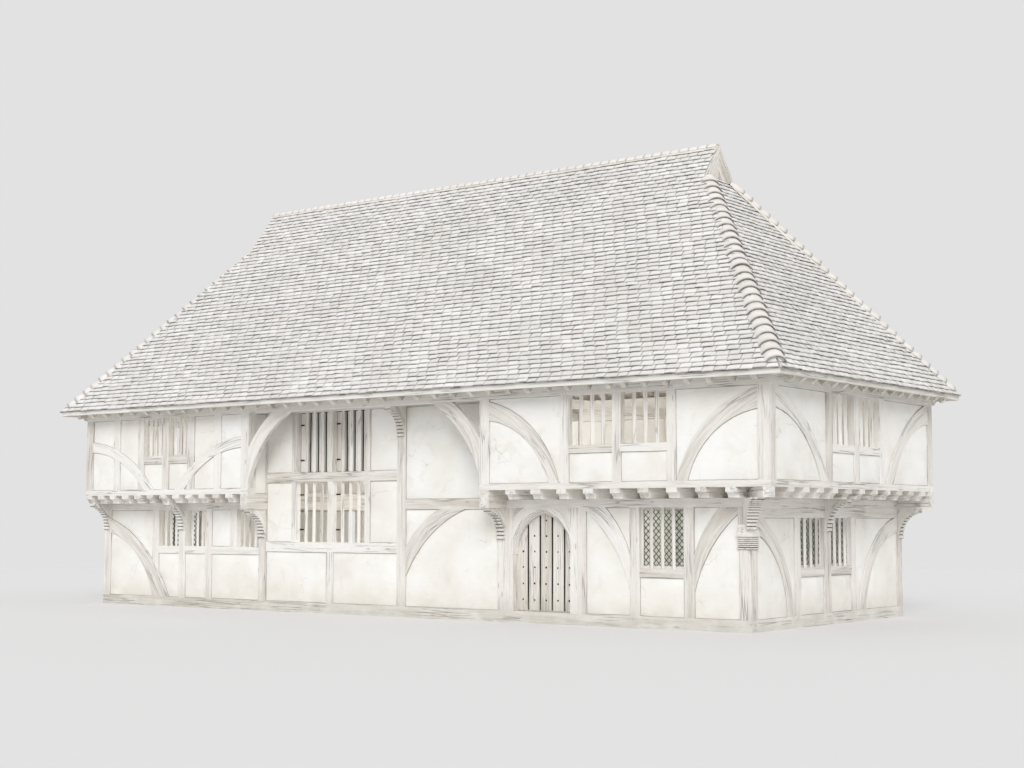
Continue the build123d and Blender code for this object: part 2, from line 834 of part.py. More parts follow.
def make_door():
    """The leaf behind its frame, with two strap hinges on pins held by the right jamb."""
    d0 = frame_depth + door_gap
    d1 = d0 + door_thickness
    half = doorway / 2 + door_lap
    hole = pointed_arch(half, arch_spring, arch_apex + door_lap, sill_top + door_sill_gap)
    add("door_leaf", front.shape(hole, d0, d1))
    pin_x = x_door_mid + half + pin_offset
    pin_depth = d1 + knuckle_radius - knuckle_seat
    pin_y = y_front + pin_depth
    pin_length = pin_tail + knuckle_height + pin_tip
    for z in (sill_top + low_strap, arch_spring + high_strap):
        z0, z1 = z - strap_width / 2, z + strap_width / 2
        strap = front.block(pin_x - strap_length, pin_x, z0, z1, d1, d1 + strap_thickness)
        knuckle = Pos(pin_x, pin_y, z) * Cylinder(knuckle_radius, knuckle_height)
        bore = Pos(pin_x, pin_y, z) * Cylinder(knuckle_bore, 2 * knuckle_height)
        add("door_hinges", strap + knuckle - bore)
        z0 = z - knuckle_height / 2 - pin_tail
        pin = Cylinder(pin_radius, pin_length, align=(Align.CENTER, Align.CENTER, Align.MIN))
        z_arm = z0 - pin_tip
        arm = front.block(
            pin_x - pin_arm / 2, pin_x + pin_arm / 2, z_arm, z_arm + pin_arm, frame_depth, pin_depth
        )
        add("hinge_pins", Pos(pin_x, pin_y, z0) * pin + arm)


# ---- Roof ----
def slope_line(run):
    """Height of the roof surface at a distance in from the slab's edge."""
    return slab_edge_z + run * rise


def front_plan(inset):
    """Plan of the whole front slope, drawn in from its hips by inset."""
    left_run = gablet_setback_left - fascia_thickness
    right_run = gablet_setback_right - fascia_thickness
    return [
        (-slab_half_length + inset, -slab_half_span),
        (slab_half_length - inset, -slab_half_span),
        (x_gablet_right, -slab_half_span + right_run - inset),
        (x_gablet_right, 0),
        (x_gablet_left, 0),
        (x_gablet_left, -slab_half_span + left_run - inset),
    ]


def end_plan(side, inset):
    """Plan of an end slope, drawn in from its hips by inset."""
    x_gablet = x_gablet_right if side > 0 else x_gablet_left
    half = slab_half_span - (slab_half_length - side * x_gablet)
    return [
        (side * slab_half_length, -slab_half_span + inset),
        (side * slab_half_length, slab_half_span - inset),
        (x_gablet, half - inset),
        (x_gablet, -half + inset),
    ]


def slab_section(eaves_at, ridge_at):
    """Outline of a roof slab from its eaves up to the height of the ridge: (place, height)."""
    return [
        (eaves_at, slab_edge_z),
        (ridge_at, ridge_z),
        (ridge_at, ridge_z - roof_drop),
        (eaves_at, slab_edge_z - roof_drop),
    ]


def make_slopes():
    """Roof slabs mitred at the hips, the long slopes in three lengths that meet under the gablets."""
    slab = prism_x(slab_section(-slab_half_span, 0), -slab_half_length, slab_half_length)
    slope = slab & prism_z(front_plan(0), 0, ridge_z + cut_margin)
    middle = slope & block(x_gablet_left, x_gablet_right, -slab_half_span, 0, 0, ridge_z)
    add("front_slope", *middle.solids())
    add("back_slope", *mirror(middle, Plane.XZ).solids())
    for solid in (slope - middle).solids():
        add("hip_slopes", solid, *mirror(solid, Plane.XZ).solids())
    for side in (1, -1):
        section = slab_section(side * slab_half_length, side * (slab_half_length - slab_half_span))
        slab = prism_y(section, -slab_half_span, slab_half_span)
        slope = slab & prism_z(end_plan(side, 0), 0, ridge_z + cut_margin)
        add("end_slopes", *slope.solids())


def rafter_profile(direction, reach):
    """Outline of a rafter that starts at the fascia, with a square cut foot and a seat on its plate."""
    start = -direction * reach
    under = slab_edge_z - roof_drop
    foot_run = rafter_depth * math.sin(pitch)
    seat_run = wall_run + rafter_seat / rise
    ends = [
        (0, under),
        (foot_run, under - rafter_depth * math.cos(pitch)),
        (wall_run, under + wall_run * rise - rafter_drop),
        (wall_run, wall_plate_top),
        (seat_run, wall_plate_top),
        (slab_half_span, under + slab_half_span * rise - rafter_drop),
        (slab_half_span, under + slab_half_span * rise),
    ]
    return [(start + direction * run, z) for run, z in ends]


def evenly(low, high, spacing):
    """Starts of pieces spaced evenly from low to high, about spacing apart."""
    count = max(1, round((high - low) / spacing))
    return [low + (high - low) * i / count for i in range(count + 1)]


def make_long_rafters():
    """Rafters of the front and back slopes, those beyond the gablets cut off at the hips."""
    clip = prism_z(front_plan(rafter_width / math.sqrt(2)), 0, ridge_z + cut_margin)
    profile = rafter_profile(1, slab_half_span)
    x0, x1 = x_gablet_left + gablet_thickness, x_gablet_right - gablet_thickness - rafter_width
    inner = evenly(x0, x1, rafter_spacing)
    x0, x1 = -slab_half_length + last_jack, x_gablet_left - first_jack
    outer = evenly(x0 - rafter_width, x1 - rafter_width, rafter_spacing)
    outer += evenly(x_gablet_right + first_jack, slab_half_length - last_jack, rafter_spacing)
    for x0 in inner + outer:
        rafter = prism_x(profile, x0, x0 + rafter_width)
        if x0 in outer:
            rafter = rafter & clip
        add("front_rafters", *rafter.solids())
        add("back_rafters", *mirror(rafter, Plane.XZ).solids())


def make_end_rafters():
    """Rafters of the two end slopes, cut off at the hips and the gablets."""
    for side in (1, -1):
        clip = prism_z(end_plan(side, rafter_width / math.sqrt(2)), 0, ridge_z + cut_margin)
        profile = rafter_profile(-side, slab_half_length)
        y1 = slab_half_span - last_jack
        for y0 in evenly(-y1, y1 - rafter_width, end_rafter_spacing):
            rafter = prism_y(profile, y0, y0 + rafter_width) & clip
            add("end_rafters", *rafter.solids())


def under_roof():
    """Everything below the undersides of the four slopes, as one solid."""
    edge = slab_edge_z - roof_drop
    top = ridge_z - roof_drop
    gable = [(-slab_half_span, edge), (0, top), (slab_half_span, edge)]
    along = prism_x(gable, -slab_half_length, slab_half_length)
    inner = slab_half_length - slab_half_span
    ends = [(-slab_half_length, edge), (-inner, top), (inner, top), (slab_half_length, edge)]
    return along & prism_y(ends, -slab_half_span, slab_half_span)


def make_hip_rafters():
    """Four diagonal rafters under the hips, notched over the corners of the plates."""
    space = under_roof()
    plates = nodes["long_wall_plates"] + nodes["end_wall_plates"]
    for side, x_gablet in ((1, x_gablet_right), (-1, x_gablet_left)):
        run = slab_half_length - side * x_gablet
        drop = hip_rafter_depth / math.cos(math.atan(rise / math.sqrt(2)))
        edge = slab_edge_z - roof_drop
        diagonal = run * math.sqrt(2)
        top = edge + run * rise
        section = [(0, edge), (diagonal, top), (diagonal, top - drop), (0, edge - drop)]
        bar = prism_y(section, -rafter_width / 2, rafter_width / 2)
        for end in (-1, 1):
            turn = math.degrees(math.atan2(-end, -side))
            hip = Pos(side * slab_half_length, end * slab_half_span, 0) * Rot(0, 0, turn) * bar
            hip = hip & space
            x0, x1 = sorted((x_gablet, side * slab_half_length))
            hip = hip & block(x0, x1, 0, end * slab_half_span, 0, ridge_z)
            for plate in plates:
                hip = hip - plate
            add("hip_rafters", *hip.solids())


def make_gablets():
    """The small gable walls at both ends of the ridge, with bargeboards over the verges."""
    for side, x_gablet in ((1, x_gablet_right), (-1, x_gablet_left)):
        half = slab_half_span - (slab_half_length - side * x_gablet)
        foot = slope_line(slab_half_length - side * x_gablet)
        wall = [
            (-half, foot - roof_drop - rafter_drop),
            (half, foot - roof_drop - rafter_drop),
            (half, foot - roof_drop),
            (0, ridge_z - roof_drop),
            (-half, foot - roof_drop),
        ]
        x0, x1 = sorted((x_gablet, x_gablet - side * gablet_thickness))
        add("gablet_walls", prism_x(wall, x0, x1))
        x0, x1 = sorted((x_gablet, x_gablet + side * bargeboard_thickness))
        width = bargeboard_width / math.cos(pitch)
        boards = [
            (-half, foot),
            (0, ridge_z),
            (half, foot),
            (half - width / rise, foot),
            (0, ridge_z - width),
            (-half + width / rise, foot),
        ]
        add("bargeboards", prism_x(boards, x0, x1))


def make_fascias():
    """Boards over the ends of the rafters."""
    for side in (-1, 1):
        y0, y1 = sorted((side * half_span, side * slab_half_span))
        add("long_fascias", block(-half_length, half_length, y0, y1, fascia_bottom, fascia_top))
        x0, x1 = sorted((side * half_length, side * slab_half_length))
        add("end_fascias", block(x0, x1, -slab_half_span, slab_half_span, fascia_bottom, fascia_top))


def write_parts():
    """Write one STEP file for each node."""
    os.makedirs("parts", exist_ok=True)
    for node, solids in sorted(nodes.items()):
        if solids:
            export_step(Compound(children=list(solids)), os.path.join("parts", node + ".step"))


make_sills()
make_floors()
make_lower_plates()
make_truss_beams()
make_dragon_beam()
make_joists()
make_girts()
make_bressumers()
make_posts()
make_dragon_post()
make_upper_plates()
make_left_block_walls()
make_right_block_walls()
make_hall_walls()
make_end_walls()
make_brackets()
make_dragon_bracket()
make_door_frame()
make_door()
make_slopes()
make_long_rafters()
make_end_rafters()
make_hip_rafters()
make_gablets()
make_fascias()
write_parts()
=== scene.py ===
# %% [markdown]
# # A Wealden hall house: oak frame, limewashed panels, clay tiles
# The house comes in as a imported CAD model: every post, brace and panel is already in its place. What is
# still missing is everything that age and hand tools give it. This lesson adds that, one trade at a time:
# the carpenter's timbers, the plasterer's panels, the tiler's roof, the smith's nails. All lengths are in
# metres, and every place is measured from the CAD model, so that both always agree.

import json
import math

import bmesh
import bpy
import numpy as np
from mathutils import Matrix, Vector, noise

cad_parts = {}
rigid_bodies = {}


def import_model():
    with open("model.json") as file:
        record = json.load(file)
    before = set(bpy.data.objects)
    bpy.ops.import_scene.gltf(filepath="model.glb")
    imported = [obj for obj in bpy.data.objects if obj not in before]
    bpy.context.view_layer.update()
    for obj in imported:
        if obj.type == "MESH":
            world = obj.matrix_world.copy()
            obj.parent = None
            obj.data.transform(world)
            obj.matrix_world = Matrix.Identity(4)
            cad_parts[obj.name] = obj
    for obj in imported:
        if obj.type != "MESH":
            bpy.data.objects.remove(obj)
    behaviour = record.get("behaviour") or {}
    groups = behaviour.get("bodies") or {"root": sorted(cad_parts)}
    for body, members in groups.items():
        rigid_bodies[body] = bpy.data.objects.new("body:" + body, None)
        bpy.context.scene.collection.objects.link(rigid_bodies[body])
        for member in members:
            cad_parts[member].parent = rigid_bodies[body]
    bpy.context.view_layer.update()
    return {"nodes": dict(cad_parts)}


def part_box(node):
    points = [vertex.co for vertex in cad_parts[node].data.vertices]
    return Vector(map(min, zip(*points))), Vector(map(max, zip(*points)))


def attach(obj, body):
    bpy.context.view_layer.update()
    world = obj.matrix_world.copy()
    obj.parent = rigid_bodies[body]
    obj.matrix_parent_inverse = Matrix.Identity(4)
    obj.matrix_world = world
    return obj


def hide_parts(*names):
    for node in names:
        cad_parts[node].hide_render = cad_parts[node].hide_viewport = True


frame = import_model()
seed = 1478  # every run of this script throws the same dice and gets the same noise
dice = np.random.default_rng(seed)
noise.seed_set(seed)

# %% [markdown]
# ## Where the viewer stands
# The house is seen from the road, off its right-hand corner, by somebody standing on slightly higher
# ground. A lens longer than normal keeps the long front from stretching. The camera comes first because
# every later choice, such as how much relief a tile needs, is judged through it.

# %% Camera
eye = (24.0915, -30.73, 2.121)
eye_tilt = 0.0841  # upwards, radians
eye_turn = 0.6444  # to the left, radians

view = bpy.data.cameras.new("view")
view.lens = 57.09
view.sensor_width = 36
view.clip_end = 300
camera = bpy.data.objects.new("camera", view)
bpy.context.scene.collection.objects.link(camera)
camera.location = eye
camera.rotation_euler = (math.pi / 2 + eye_tilt, 0, eye_turn)
bpy.context.scene.camera = camera
bpy.context.scene.view_settings.view_transform = "Standard"

# %% [markdown]
# ## A box of paints
# Each finish is a small network of nodes: patterns of noise, mixed into a colour and pressed into the
# surface as bump. The same few moves come back in every finish, so one class holds them, and each finish
# below reads like a recipe. Patterns are laid out in metres, so a number such as 30 always means thirty
# to the metre. Colours are written the way a screen shows them, from 0 to 255.

# %% Helper for finishes
def paint(red, green, blue):
    """A colour as the screen shows it, turned into the linear colour that a shader takes."""
    linear = [((c / 255 + 0.055) / 1.055) ** 2.4 for c in (red, green, blue)]
    return (*linear, 1)


class Finish:
    """A new material, with short calls that add its patterns."""

    def __init__(self, name, roughness, metal=0.0):
        self.material = bpy.data.materials.new(name)
        self.material.use_nodes = True
        self.nodes = self.material.node_tree.nodes
        self.shader = self.nodes["Principled BSDF"]
        self.shader.inputs["Roughness"].default_value = roughness
        self.shader.inputs["Metallic"].default_value = metal

    def feed(self, socket, value):
        """Join another node's output to a socket, or set the socket to a plain value."""
        if isinstance(value, bpy.types.NodeSocket):
            self.material.node_tree.links.new(value, socket)
        else:
            socket.default_value = value

    def place(self):
        """Where a point is in the house."""
        return self.nodes.new("ShaderNodeNewGeometry").outputs["Position"]

    def stored(self, name, kind="Fac"):
        """A number, or with kind Vector a place, that was stored on the mesh under this name."""
        node = self.nodes.new("ShaderNodeAttribute")
        node.attribute_name = name
        return node.outputs[kind]

    def stretched(self, place, scales):
        """The same place with each direction scaled: a small scale draws the pattern out."""
        node = self.nodes.new("ShaderNodeVectorMath")
        node.operation = "MULTIPLY"
        self.feed(node.inputs[0], place)
        node.inputs[1].default_value = scales
        return node.outputs[0]

    def clouds(self, place, scale=1.0, detail=3.0, warp=0.0):
        """Soft noise about a half."""
        node = self.nodes.new("ShaderNodeTexNoise")
        self.feed(node.inputs["Vector"], place)
        node.inputs["Scale"].default_value = scale
        node.inputs["Detail"].default_value = detail
        node.inputs["Distortion"].default_value = warp
        return node.outputs[0]

    def wandering(self, place, scale, reach):
        """The same place moved about by slow noise, so that straight lines of a pattern wander."""
        node = self.nodes.new("ShaderNodeTexNoise")
        self.feed(node.inputs["Vector"], place)
        node.inputs["Scale"].default_value = scale
        node.inputs["Detail"].default_value = 4
        push = self.nodes.new("ShaderNodeVectorMath")
        push.operation = "MULTIPLY_ADD"
        self.feed(push.inputs[0], node.outputs["Color"])
        push.inputs[1].default_value = (reach,) * 3
        self.feed(push.inputs[2], place)
        return push.outputs[0]

    def cells(self, place, scale, feature="F1"):
        """Distance to the middle of the nearest cell, or with DISTANCE_TO_EDGE to its border."""
        node = self.nodes.new("ShaderNodeTexVoronoi")
        node.feature = feature
        self.feed(node.inputs["Vector"], place)
        node.inputs["Scale"].default_value = scale
        return node.outputs["Distance"]

    def between(self, value, low, high, start=0.0, end=1.0):
        """The value from low to high, taken smoothly onto start to end and held beyond them."""
        node = self.nodes.new("ShaderNodeMapRange")
        node.interpolation_type = "SMOOTHSTEP"
        for socket, number in zip(node.inputs[:5], (value, low, high, start, end)):
            self.feed(socket, number)
        return node.outputs[0]

    def sum(self, how, one, two):
        """Arithmetic on two values: ADD, MULTIPLY, MAXIMUM and the like."""
        node = self.nodes.new("ShaderNodeMath")
        node.operation = how
        self.feed(node.inputs[0], one)
        self.feed(node.inputs[1], two)
        return node.outputs[0]

    def axis(self, place, name):
        """One of the three numbers of a place."""
        node = self.nodes.new("ShaderNodeSeparateXYZ")
        self.feed(node.inputs[0], place)
        return node.outputs[name]

    def mixed(self, share, under, over, how="MIX"):
        """Two colours mixed: the share of the one that lies over."""
        node = self.nodes.new("ShaderNodeMix")
        node.data_type = "RGBA"
        node.blend_type = how
        self.feed(node.inputs[0], share)
        self.feed(node.inputs[6], under)
        self.feed(node.inputs[7], over)
        return node.outputs[2]

    def tones(self, value, *stops):
        """A value turned into colours: (place from 0 to 1, colour), in order."""
        node = self.nodes.new("ShaderNodeValToRGB")
        ramp = node.color_ramp
        while len(ramp.elements) < len(stops):
            ramp.elements.new(1)
        for element, (place, colour) in zip(ramp.elements, stops):
            element.position = place
            element.color = colour
        self.feed(node.inputs[0], value)
        return node.outputs[0]

    def relief(self, height, depth, under=None):
        """Bump: the surface moves by depth metres as the height goes from 0 to 1."""
        node = self.nodes.new("ShaderNodeBump")
        self.feed(node.inputs["Height"], height)
        node.inputs["Distance"].default_value = depth
        if under is not None:
            self.feed(node.inputs["Normal"], under)
        return node.outputs[0]

    def done(self, colour, normal=None, roughness=None):
        """Join the colour and the rest to the shader."""
        self.feed(self.shader.inputs["Base Color"], colour)
        if normal is not None:
            self.feed(self.shader.inputs["Normal"], normal)
        if roughness is not None:
            self.feed(self.shader.inputs["Roughness"], roughness)
        return self.material


# %% [markdown]
# ## Limed oak
# Oak that has stood outside for centuries goes silver, and lime from the panels washes over it and
# bleaches it further. Up close it shows long streaks, open checks that follow the grain, a knot here
# and there, and rings on cut ends. The trick is to give every timber its own coordinates, stored on the
# mesh as "grain": x runs along the timber, and y and z across it. Noise that is drawn out along x
# becomes fibre, and rings round the heart of the tree show by themselves wherever an end is cut. A
# stored "tone" makes each timber a little lighter or darker than its neighbour. The lime wears off the
# rounded arrises first, where people and rain rub past, so those faces are stored as "arris" and show
# the bare wood. In carved work the faces in the grooves, stored as "groove", are darkened as painted shade.

# %% Oak
knot_brown, check_shadow = paint(150, 136, 120), paint(104, 98, 90)
# bare wood for rubbed arrises, and a painted shade for carved grooves
bare_wood, groove_shade = paint(124, 114, 101), paint(92, 85, 76)
damp_stain = paint(172, 166, 150)
fibre_dark, plain_white = (0.88, 0.88, 0.88, 1), (1, 1, 1, 1)


def oak(name, pale, middle, dark, roughness=0.8):
    """Limed or sawn oak in three tones, with checks, knots, rubbed arrises and a damp foot."""
    f = Finish(name, roughness)
    grain = f.stored("grain", "Vector")
    tone = f.stored("tone")
    place = f.place()
    bands = f.clouds(f.stretched(grain, (0.5, 9, 9)), 1.0, 4, 0.6)
    streaks = f.clouds(f.stretched(grain, (1.6, 42, 42)), 1.0, 5, 0.4)
    fibre = f.clouds(f.stretched(grain, (9, 260, 260)), 1.0, 3)
    blend = f.sum("ADD", f.sum("MULTIPLY", bands, 0.55), f.sum("MULTIPLY", streaks, 0.45))
    shade = f.sum("ADD", blend, f.sum("MULTIPLY", tone, 0.14))
    colour = f.tones(shade, (0.3, dark), (0.48, middle), (0.68, pale))
    splits = f.cells(f.stretched(grain, (0.55, 17, 17)), 1.0, "DISTANCE_TO_EDGE")
    where = f.between(f.clouds(f.stretched(grain, (0.9, 5, 5)), 1.0, 2), 0.5, 0.62)
    check = f.sum("MULTIPLY", f.between(splits, 0.0, 0.055, 1.0, 0.0), where)
    knots = f.between(f.cells(f.stretched(grain, (1.3, 5, 5)), 1.0), 0.03, 0.13, 1.0, 0.0)
    colour = f.mixed(f.sum("MULTIPLY", knots, 0.5), colour, knot_brown)
    colour = f.mixed(f.sum("MULTIPLY", check, 0.42), colour, check_shadow)
    rubbed_off = f.between(f.clouds(place, 3.1, 5, 0.5), 0.3, 0.6, 0.4, 0.95)
    colour = f.mixed(f.sum("MULTIPLY", f.stored("arris"), rubbed_off), colour, bare_wood)
    # painted shade: the faces of carved grooves are darkened
    colour = f.mixed(f.sum("MULTIPLY", f.stored("groove"), 0.75), colour, groove_shade)
    fine = f.between(fibre, 0.3, 0.7, 0.88, 1.05)
    colour = f.mixed(1.0, colour, f.tones(fine, (0.88, fibre_dark), (1.0, plain_white)), "MULTIPLY")
    height = f.axis(place, "Z")
    damp = f.sum("MULTIPLY", f.between(height, 0.05, 0.75, 1.0, 0.0), f.clouds(place, 3.0, 4))
    colour = f.mixed(f.sum("MULTIPLY", damp, 0.7), colour, damp_stain)
    normal = f.relief(fibre, 0.0012)
    normal = f.relief(streaks, 0.004, normal)
    normal = f.relief(f.sum("ADD", check, f.sum("MULTIPLY", knots, -0.4)), -0.010, normal)
    return f.done(colour, normal, f.between(streaks, 0.3, 0.7, roughness - 0.12, roughness + 0.08))


frame_oak = oak("limed_oak", paint(246, 244, 240), paint(237, 233, 227), paint(211, 205, 196))
rafter_oak = oak("riven_oak", paint(233, 229, 222), paint(219, 213, 204), paint(187, 178, 166))
board_oak = oak("sawn_boards", paint(236, 232, 225), paint(223, 217, 208), paint(196, 187, 175))
eaves_oak = oak("eaves_boards", paint(241, 239, 234), paint(231, 227, 220), paint(206, 199, 188))
door_oak = oak("door_planks", paint(244, 241, 236), paint(235, 230, 223), paint(209, 202, 192))
# near-black oak for the boards behind plank joints: painted shade in the joints
shaded_oak = oak("shaded_oak", paint(50, 46, 42), paint(38, 34, 31), paint(26, 24, 22))
print("oak finishes:", len([m for m in bpy.data.materials if "oak" in m.name or "board" in m.name]))

# %% [markdown]
# ## Limewash on daub
# Between the timbers are panels of clay daub, floated by hand and limewashed nearly every year. The
# surface is never flat: it rolls gently, shows the sweep of the float, and gets hairline cracks. Rain
# splash leaves an earthy tint near the ground. Four noises at very different sizes do this, because one
# noise alone always looks like one noise. Where a panel meets the oak, a line of shade is painted on:
# the mesh stores a "rim" that is 1 along that edge, and the finish darkens it there as painted shade.

# %% Limewash
fresh_lime = (paint(236, 233, 226), paint(243, 241, 236), paint(247, 246, 243))
bare_daub, crack_shadow = paint(228, 221, 208), paint(176, 168, 156)
# a painted shade for the rim of each panel, and an earthy splash stain
soot_line, splash_earth = paint(120, 113, 104), paint(220, 212, 196)


def limewash():
    """Lime on daub: float marks, hairline cracks, a rim darkened as painted shade and a splashed foot."""
    f = Finish("limewash", 0.92)
    place = f.place()
    broad = f.clouds(place, 0.9, 4, 0.5)
    float_marks = f.clouds(f.stretched(place, (5, 5, 11)), 1.0, 4, 1.2)
    sand = f.clouds(place, 190, 2)
    worn = f.between(f.clouds(place, 2.3, 5, 0.8), 0.56, 0.7)
    colour = f.tones(broad, *zip((0.32, 0.5, 0.66), fresh_lime))
    colour = f.mixed(f.sum("MULTIPLY", worn, 0.3), colour, bare_daub)
    lines = f.cells(f.wandering(f.stretched(place, (1.0, 1.0, 0.7)), 2.4, 0.5), 1.9, "DISTANCE_TO_EDGE")
    some = f.between(f.clouds(place, 1.3, 3), 0.54, 0.64)
    cracks = f.sum("MULTIPLY", f.between(lines, 0.0, 0.008, 1.0, 0.0), some)
    colour = f.mixed(f.sum("MULTIPLY", cracks, 0.4), colour, crack_shadow)
    # painted shade along each panel's rim, where it meets the oak
    sooty = f.between(f.clouds(place, 2.6, 4), 0.3, 0.6, 0.45, 0.8)
    painted_rim_shade = f.sum("MULTIPLY", f.between(f.stored("rim"), 0.1, 0.9), sooty)
    colour = f.mixed(painted_rim_shade, colour, soot_line)
    height = f.axis(place, "Z")
    splash = f.sum("MULTIPLY", f.between(height, 0.2, 1.0, 0.9, 0.0), f.clouds(place, 4.0, 5))
    colour = f.mixed(f.sum("MULTIPLY", splash, 0.8), colour, splash_earth)
    normal = f.relief(sand, 0.0008)
    normal = f.relief(float_marks, 0.007, normal)
    normal = f.relief(cracks, -0.004, normal)
    return f.done(colour, normal)


plaster = limewash()
print("panel finish:", plaster.name, "of", len(plaster.node_tree.nodes), "nodes")

# %% [markdown]
# ## Clay tiles
# Hand-made clay tiles leave the kiln in many tones, and lichen then pales them all. Each tile's lower
# edge and sides are darkened: partly the dirt and moss that stay where water hangs, partly painted shade
# between tiles. That dark edge is what draws each course when the roof is seen from afar. Each tile
# stores a "tone" from 0 to 1, a "soot" that says how dark its edge is painted, a "tail" that rises to 1
# at its lower edge and a "rim" that is 1 at its sides, so the finish knows where on the tile it is.

# %% Tiles and mortar
kiln_dust, dry_lichen, lichen_spot = paint(206, 200, 194), paint(240, 239, 234), paint(222, 219, 204)
# the second colour darkens each tile's edges: partly dirt, partly painted shade between tiles
weathered, edge_shade_and_dirt = paint(206, 204, 196), paint(86, 84, 81)


def clay(name, tones):
    """Clay in several kiln tones, under lichen, with each tile's lower edge and sides darkened: partly dirt,
    partly painted shade.
    """
    f = Finish(name, 0.86)
    place = f.place()
    tone = f.stored("tone")
    tail = f.stored("tail")
    colour = f.tones(tone, *[((i + 0.5) / len(tones), paint(*t)) for i, t in enumerate(tones)])
    grime = f.clouds(place, 26, 5, 0.5)
    colour = f.mixed(f.between(grime, 0.35, 0.7, 0.0, 0.26), colour, kiln_dust)
    lichen = f.between(f.clouds(place, 7.5, 5, 1.4), 0.5, 0.62)
    spots = f.between(f.cells(place, 34), 0.12, 0.3, 1.0, 0.0)
    colour = f.mixed(f.sum("MULTIPLY", lichen, 0.42), colour, dry_lichen)
    colour = f.mixed(f.sum("MULTIPLY", f.sum("MULTIPLY", spots, lichen), 0.5), colour, lichen_spot)
    patches = f.between(f.clouds(place, 0.55, 3), 0.4, 0.62, 0.0, 0.22)
    colour = f.mixed(patches, colour, weathered)
    # lower edge and sides darkened: partly dirt, partly painted shade between tiles
    how_dark_edge = f.between(f.stored("soot"), 0.0, 0.5, 0.45, 1.0)
    lower = f.sum("MULTIPLY", f.sum("POWER", tail, 10.0), how_dark_edge)
    sides = f.sum("MULTIPLY", f.sum("POWER", f.stored("rim"), 12.0), 0.5)
    edge = f.sum("MAXIMUM", lower, sides)
    edge_paint_share = f.sum("MULTIPLY", edge, f.between(f.clouds(place, 5, 3), 0.3, 0.6, 0.6, 0.95))
    colour = f.mixed(edge_paint_share, colour, edge_shade_and_dirt)
    normal = f.relief(f.clouds(place, 120, 4), 0.0018)
    normal = f.relief(grime, 0.005, normal)
    return f.done(colour, normal, f.between(grime, 0.3, 0.7, 0.78, 0.95))


kiln_tones = ((230, 225, 221), (237, 234, 231), (242, 240, 238))
kiln_tones += ((246, 245, 243), (234, 230, 226), (232, 230, 228))
ridge_tones = ((232, 227, 222), (240, 236, 233), (236, 231, 227))
roof_clay = clay("roof_clay", kiln_tones)
ridge_clay = clay("ridge_clay", ridge_tones)


def rubbed(name, light, dark, scale, depth, roughness):
    """A plain mineral finish: two tones of one colour with a rough face."""
    f = Finish(name, roughness)
    place = f.place()
    broad = f.clouds(place, scale, 5, 0.6)
    grit = f.clouds(place, scale * 22, 4)
    colour = f.tones(broad, (0.35, dark), (0.62, light))
    colour = f.mixed(f.between(grit, 0.42, 0.7, 0.0, 0.35), colour, dark)
    return f.done(colour, f.relief(grit, depth / 3, f.relief(broad, depth)))


mortar = rubbed("lime_mortar", paint(238, 235, 228), paint(216, 210, 199), 3.0, 0.006, 0.93)
lime_floor = rubbed("lime_ash_floor", paint(232, 229, 221), paint(210, 205, 195), 1.6, 0.008, 0.85)
print(len(kiln_tones), "kiln tones for the roof,", len(ridge_tones), "for the ridge")

# %% [markdown]
# ## Iron, lead and old glass
# The smith's work is nearly black, dull, with rust in the hollows. Window leads are soft grey. Old glass
# is faintly green and never flat, so it gets a slow ripple: what it mirrors then bends a little.

# %% Iron, lead and glass
def forged(name, body, bloom, metal, roughness):
    """Hammered metal with a bloom of rust or chalk in its hollows."""
    f = Finish(name, roughness, metal)
    place = f.place()
    scale = f.clouds(place, 55, 5, 0.4)
    hammered = f.clouds(place, 38, 2)
    colour = f.mixed(f.between(scale, 0.5, 0.68, 0.0, 0.7), body, bloom)
    normal = f.relief(scale, 0.0008, f.relief(hammered, 0.002))
    return f.done(colour, normal, f.between(scale, 0.4, 0.7, roughness, min(1, roughness + 0.3)))


def old_glass():
    """Faintly green glass with a slow ripple."""
    f = Finish("old_glass", 0.05)
    ripple = f.clouds(f.place(), 7, 2, 0.8)
    f.shader.inputs["Transmission Weight"].default_value = 1.0
    f.shader.inputs["IOR"].default_value = 1.5
    tint = f.tones(ripple, (0.3, paint(232, 239, 233)), (0.7, paint(242, 246, 241)))
    return f.done(tint, f.relief(ripple, 0.010))


iron = forged("forged_iron", paint(52, 50, 49), paint(96, 66, 48), 0.7, 0.5)
lead = forged("window_lead", paint(64, 66, 68), paint(96, 97, 95), 0.4, 0.55)
glass = old_glass()
print("finishes:", sorted(m.name for m in bpy.data.materials))

# %% [markdown]
# ## Making pieces
# A piece is a mesh with a finish. It rides on a body of the CAD model, so it moves when that body moves;
# here everything is fixed to the "frame" except what hangs on the "door". A piece that stands for a CAD
# node hides it. Smooth shading with crisp edges kept gives soft arrises without more faces.

# %% Helpers for pieces
corner_angle = math.radians(32)  # above this, an edge stays crisp
print("edges stay crisp above", round(math.degrees(corner_angle)), "degrees")


def piece(mesh, name, finish, body="frame", stands_for=()):
    """Put a finished mesh in the house, riding on a body."""
    mesh.materials.append(finish)
    mesh.shade_smooth()
    mesh.set_sharp_from_angle(angle=corner_angle)
    made = bpy.data.objects.new(name, mesh)
    bpy.context.scene.collection.objects.link(made)
    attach(made, body)
    if stands_for:
        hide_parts(*stands_for)
    return made


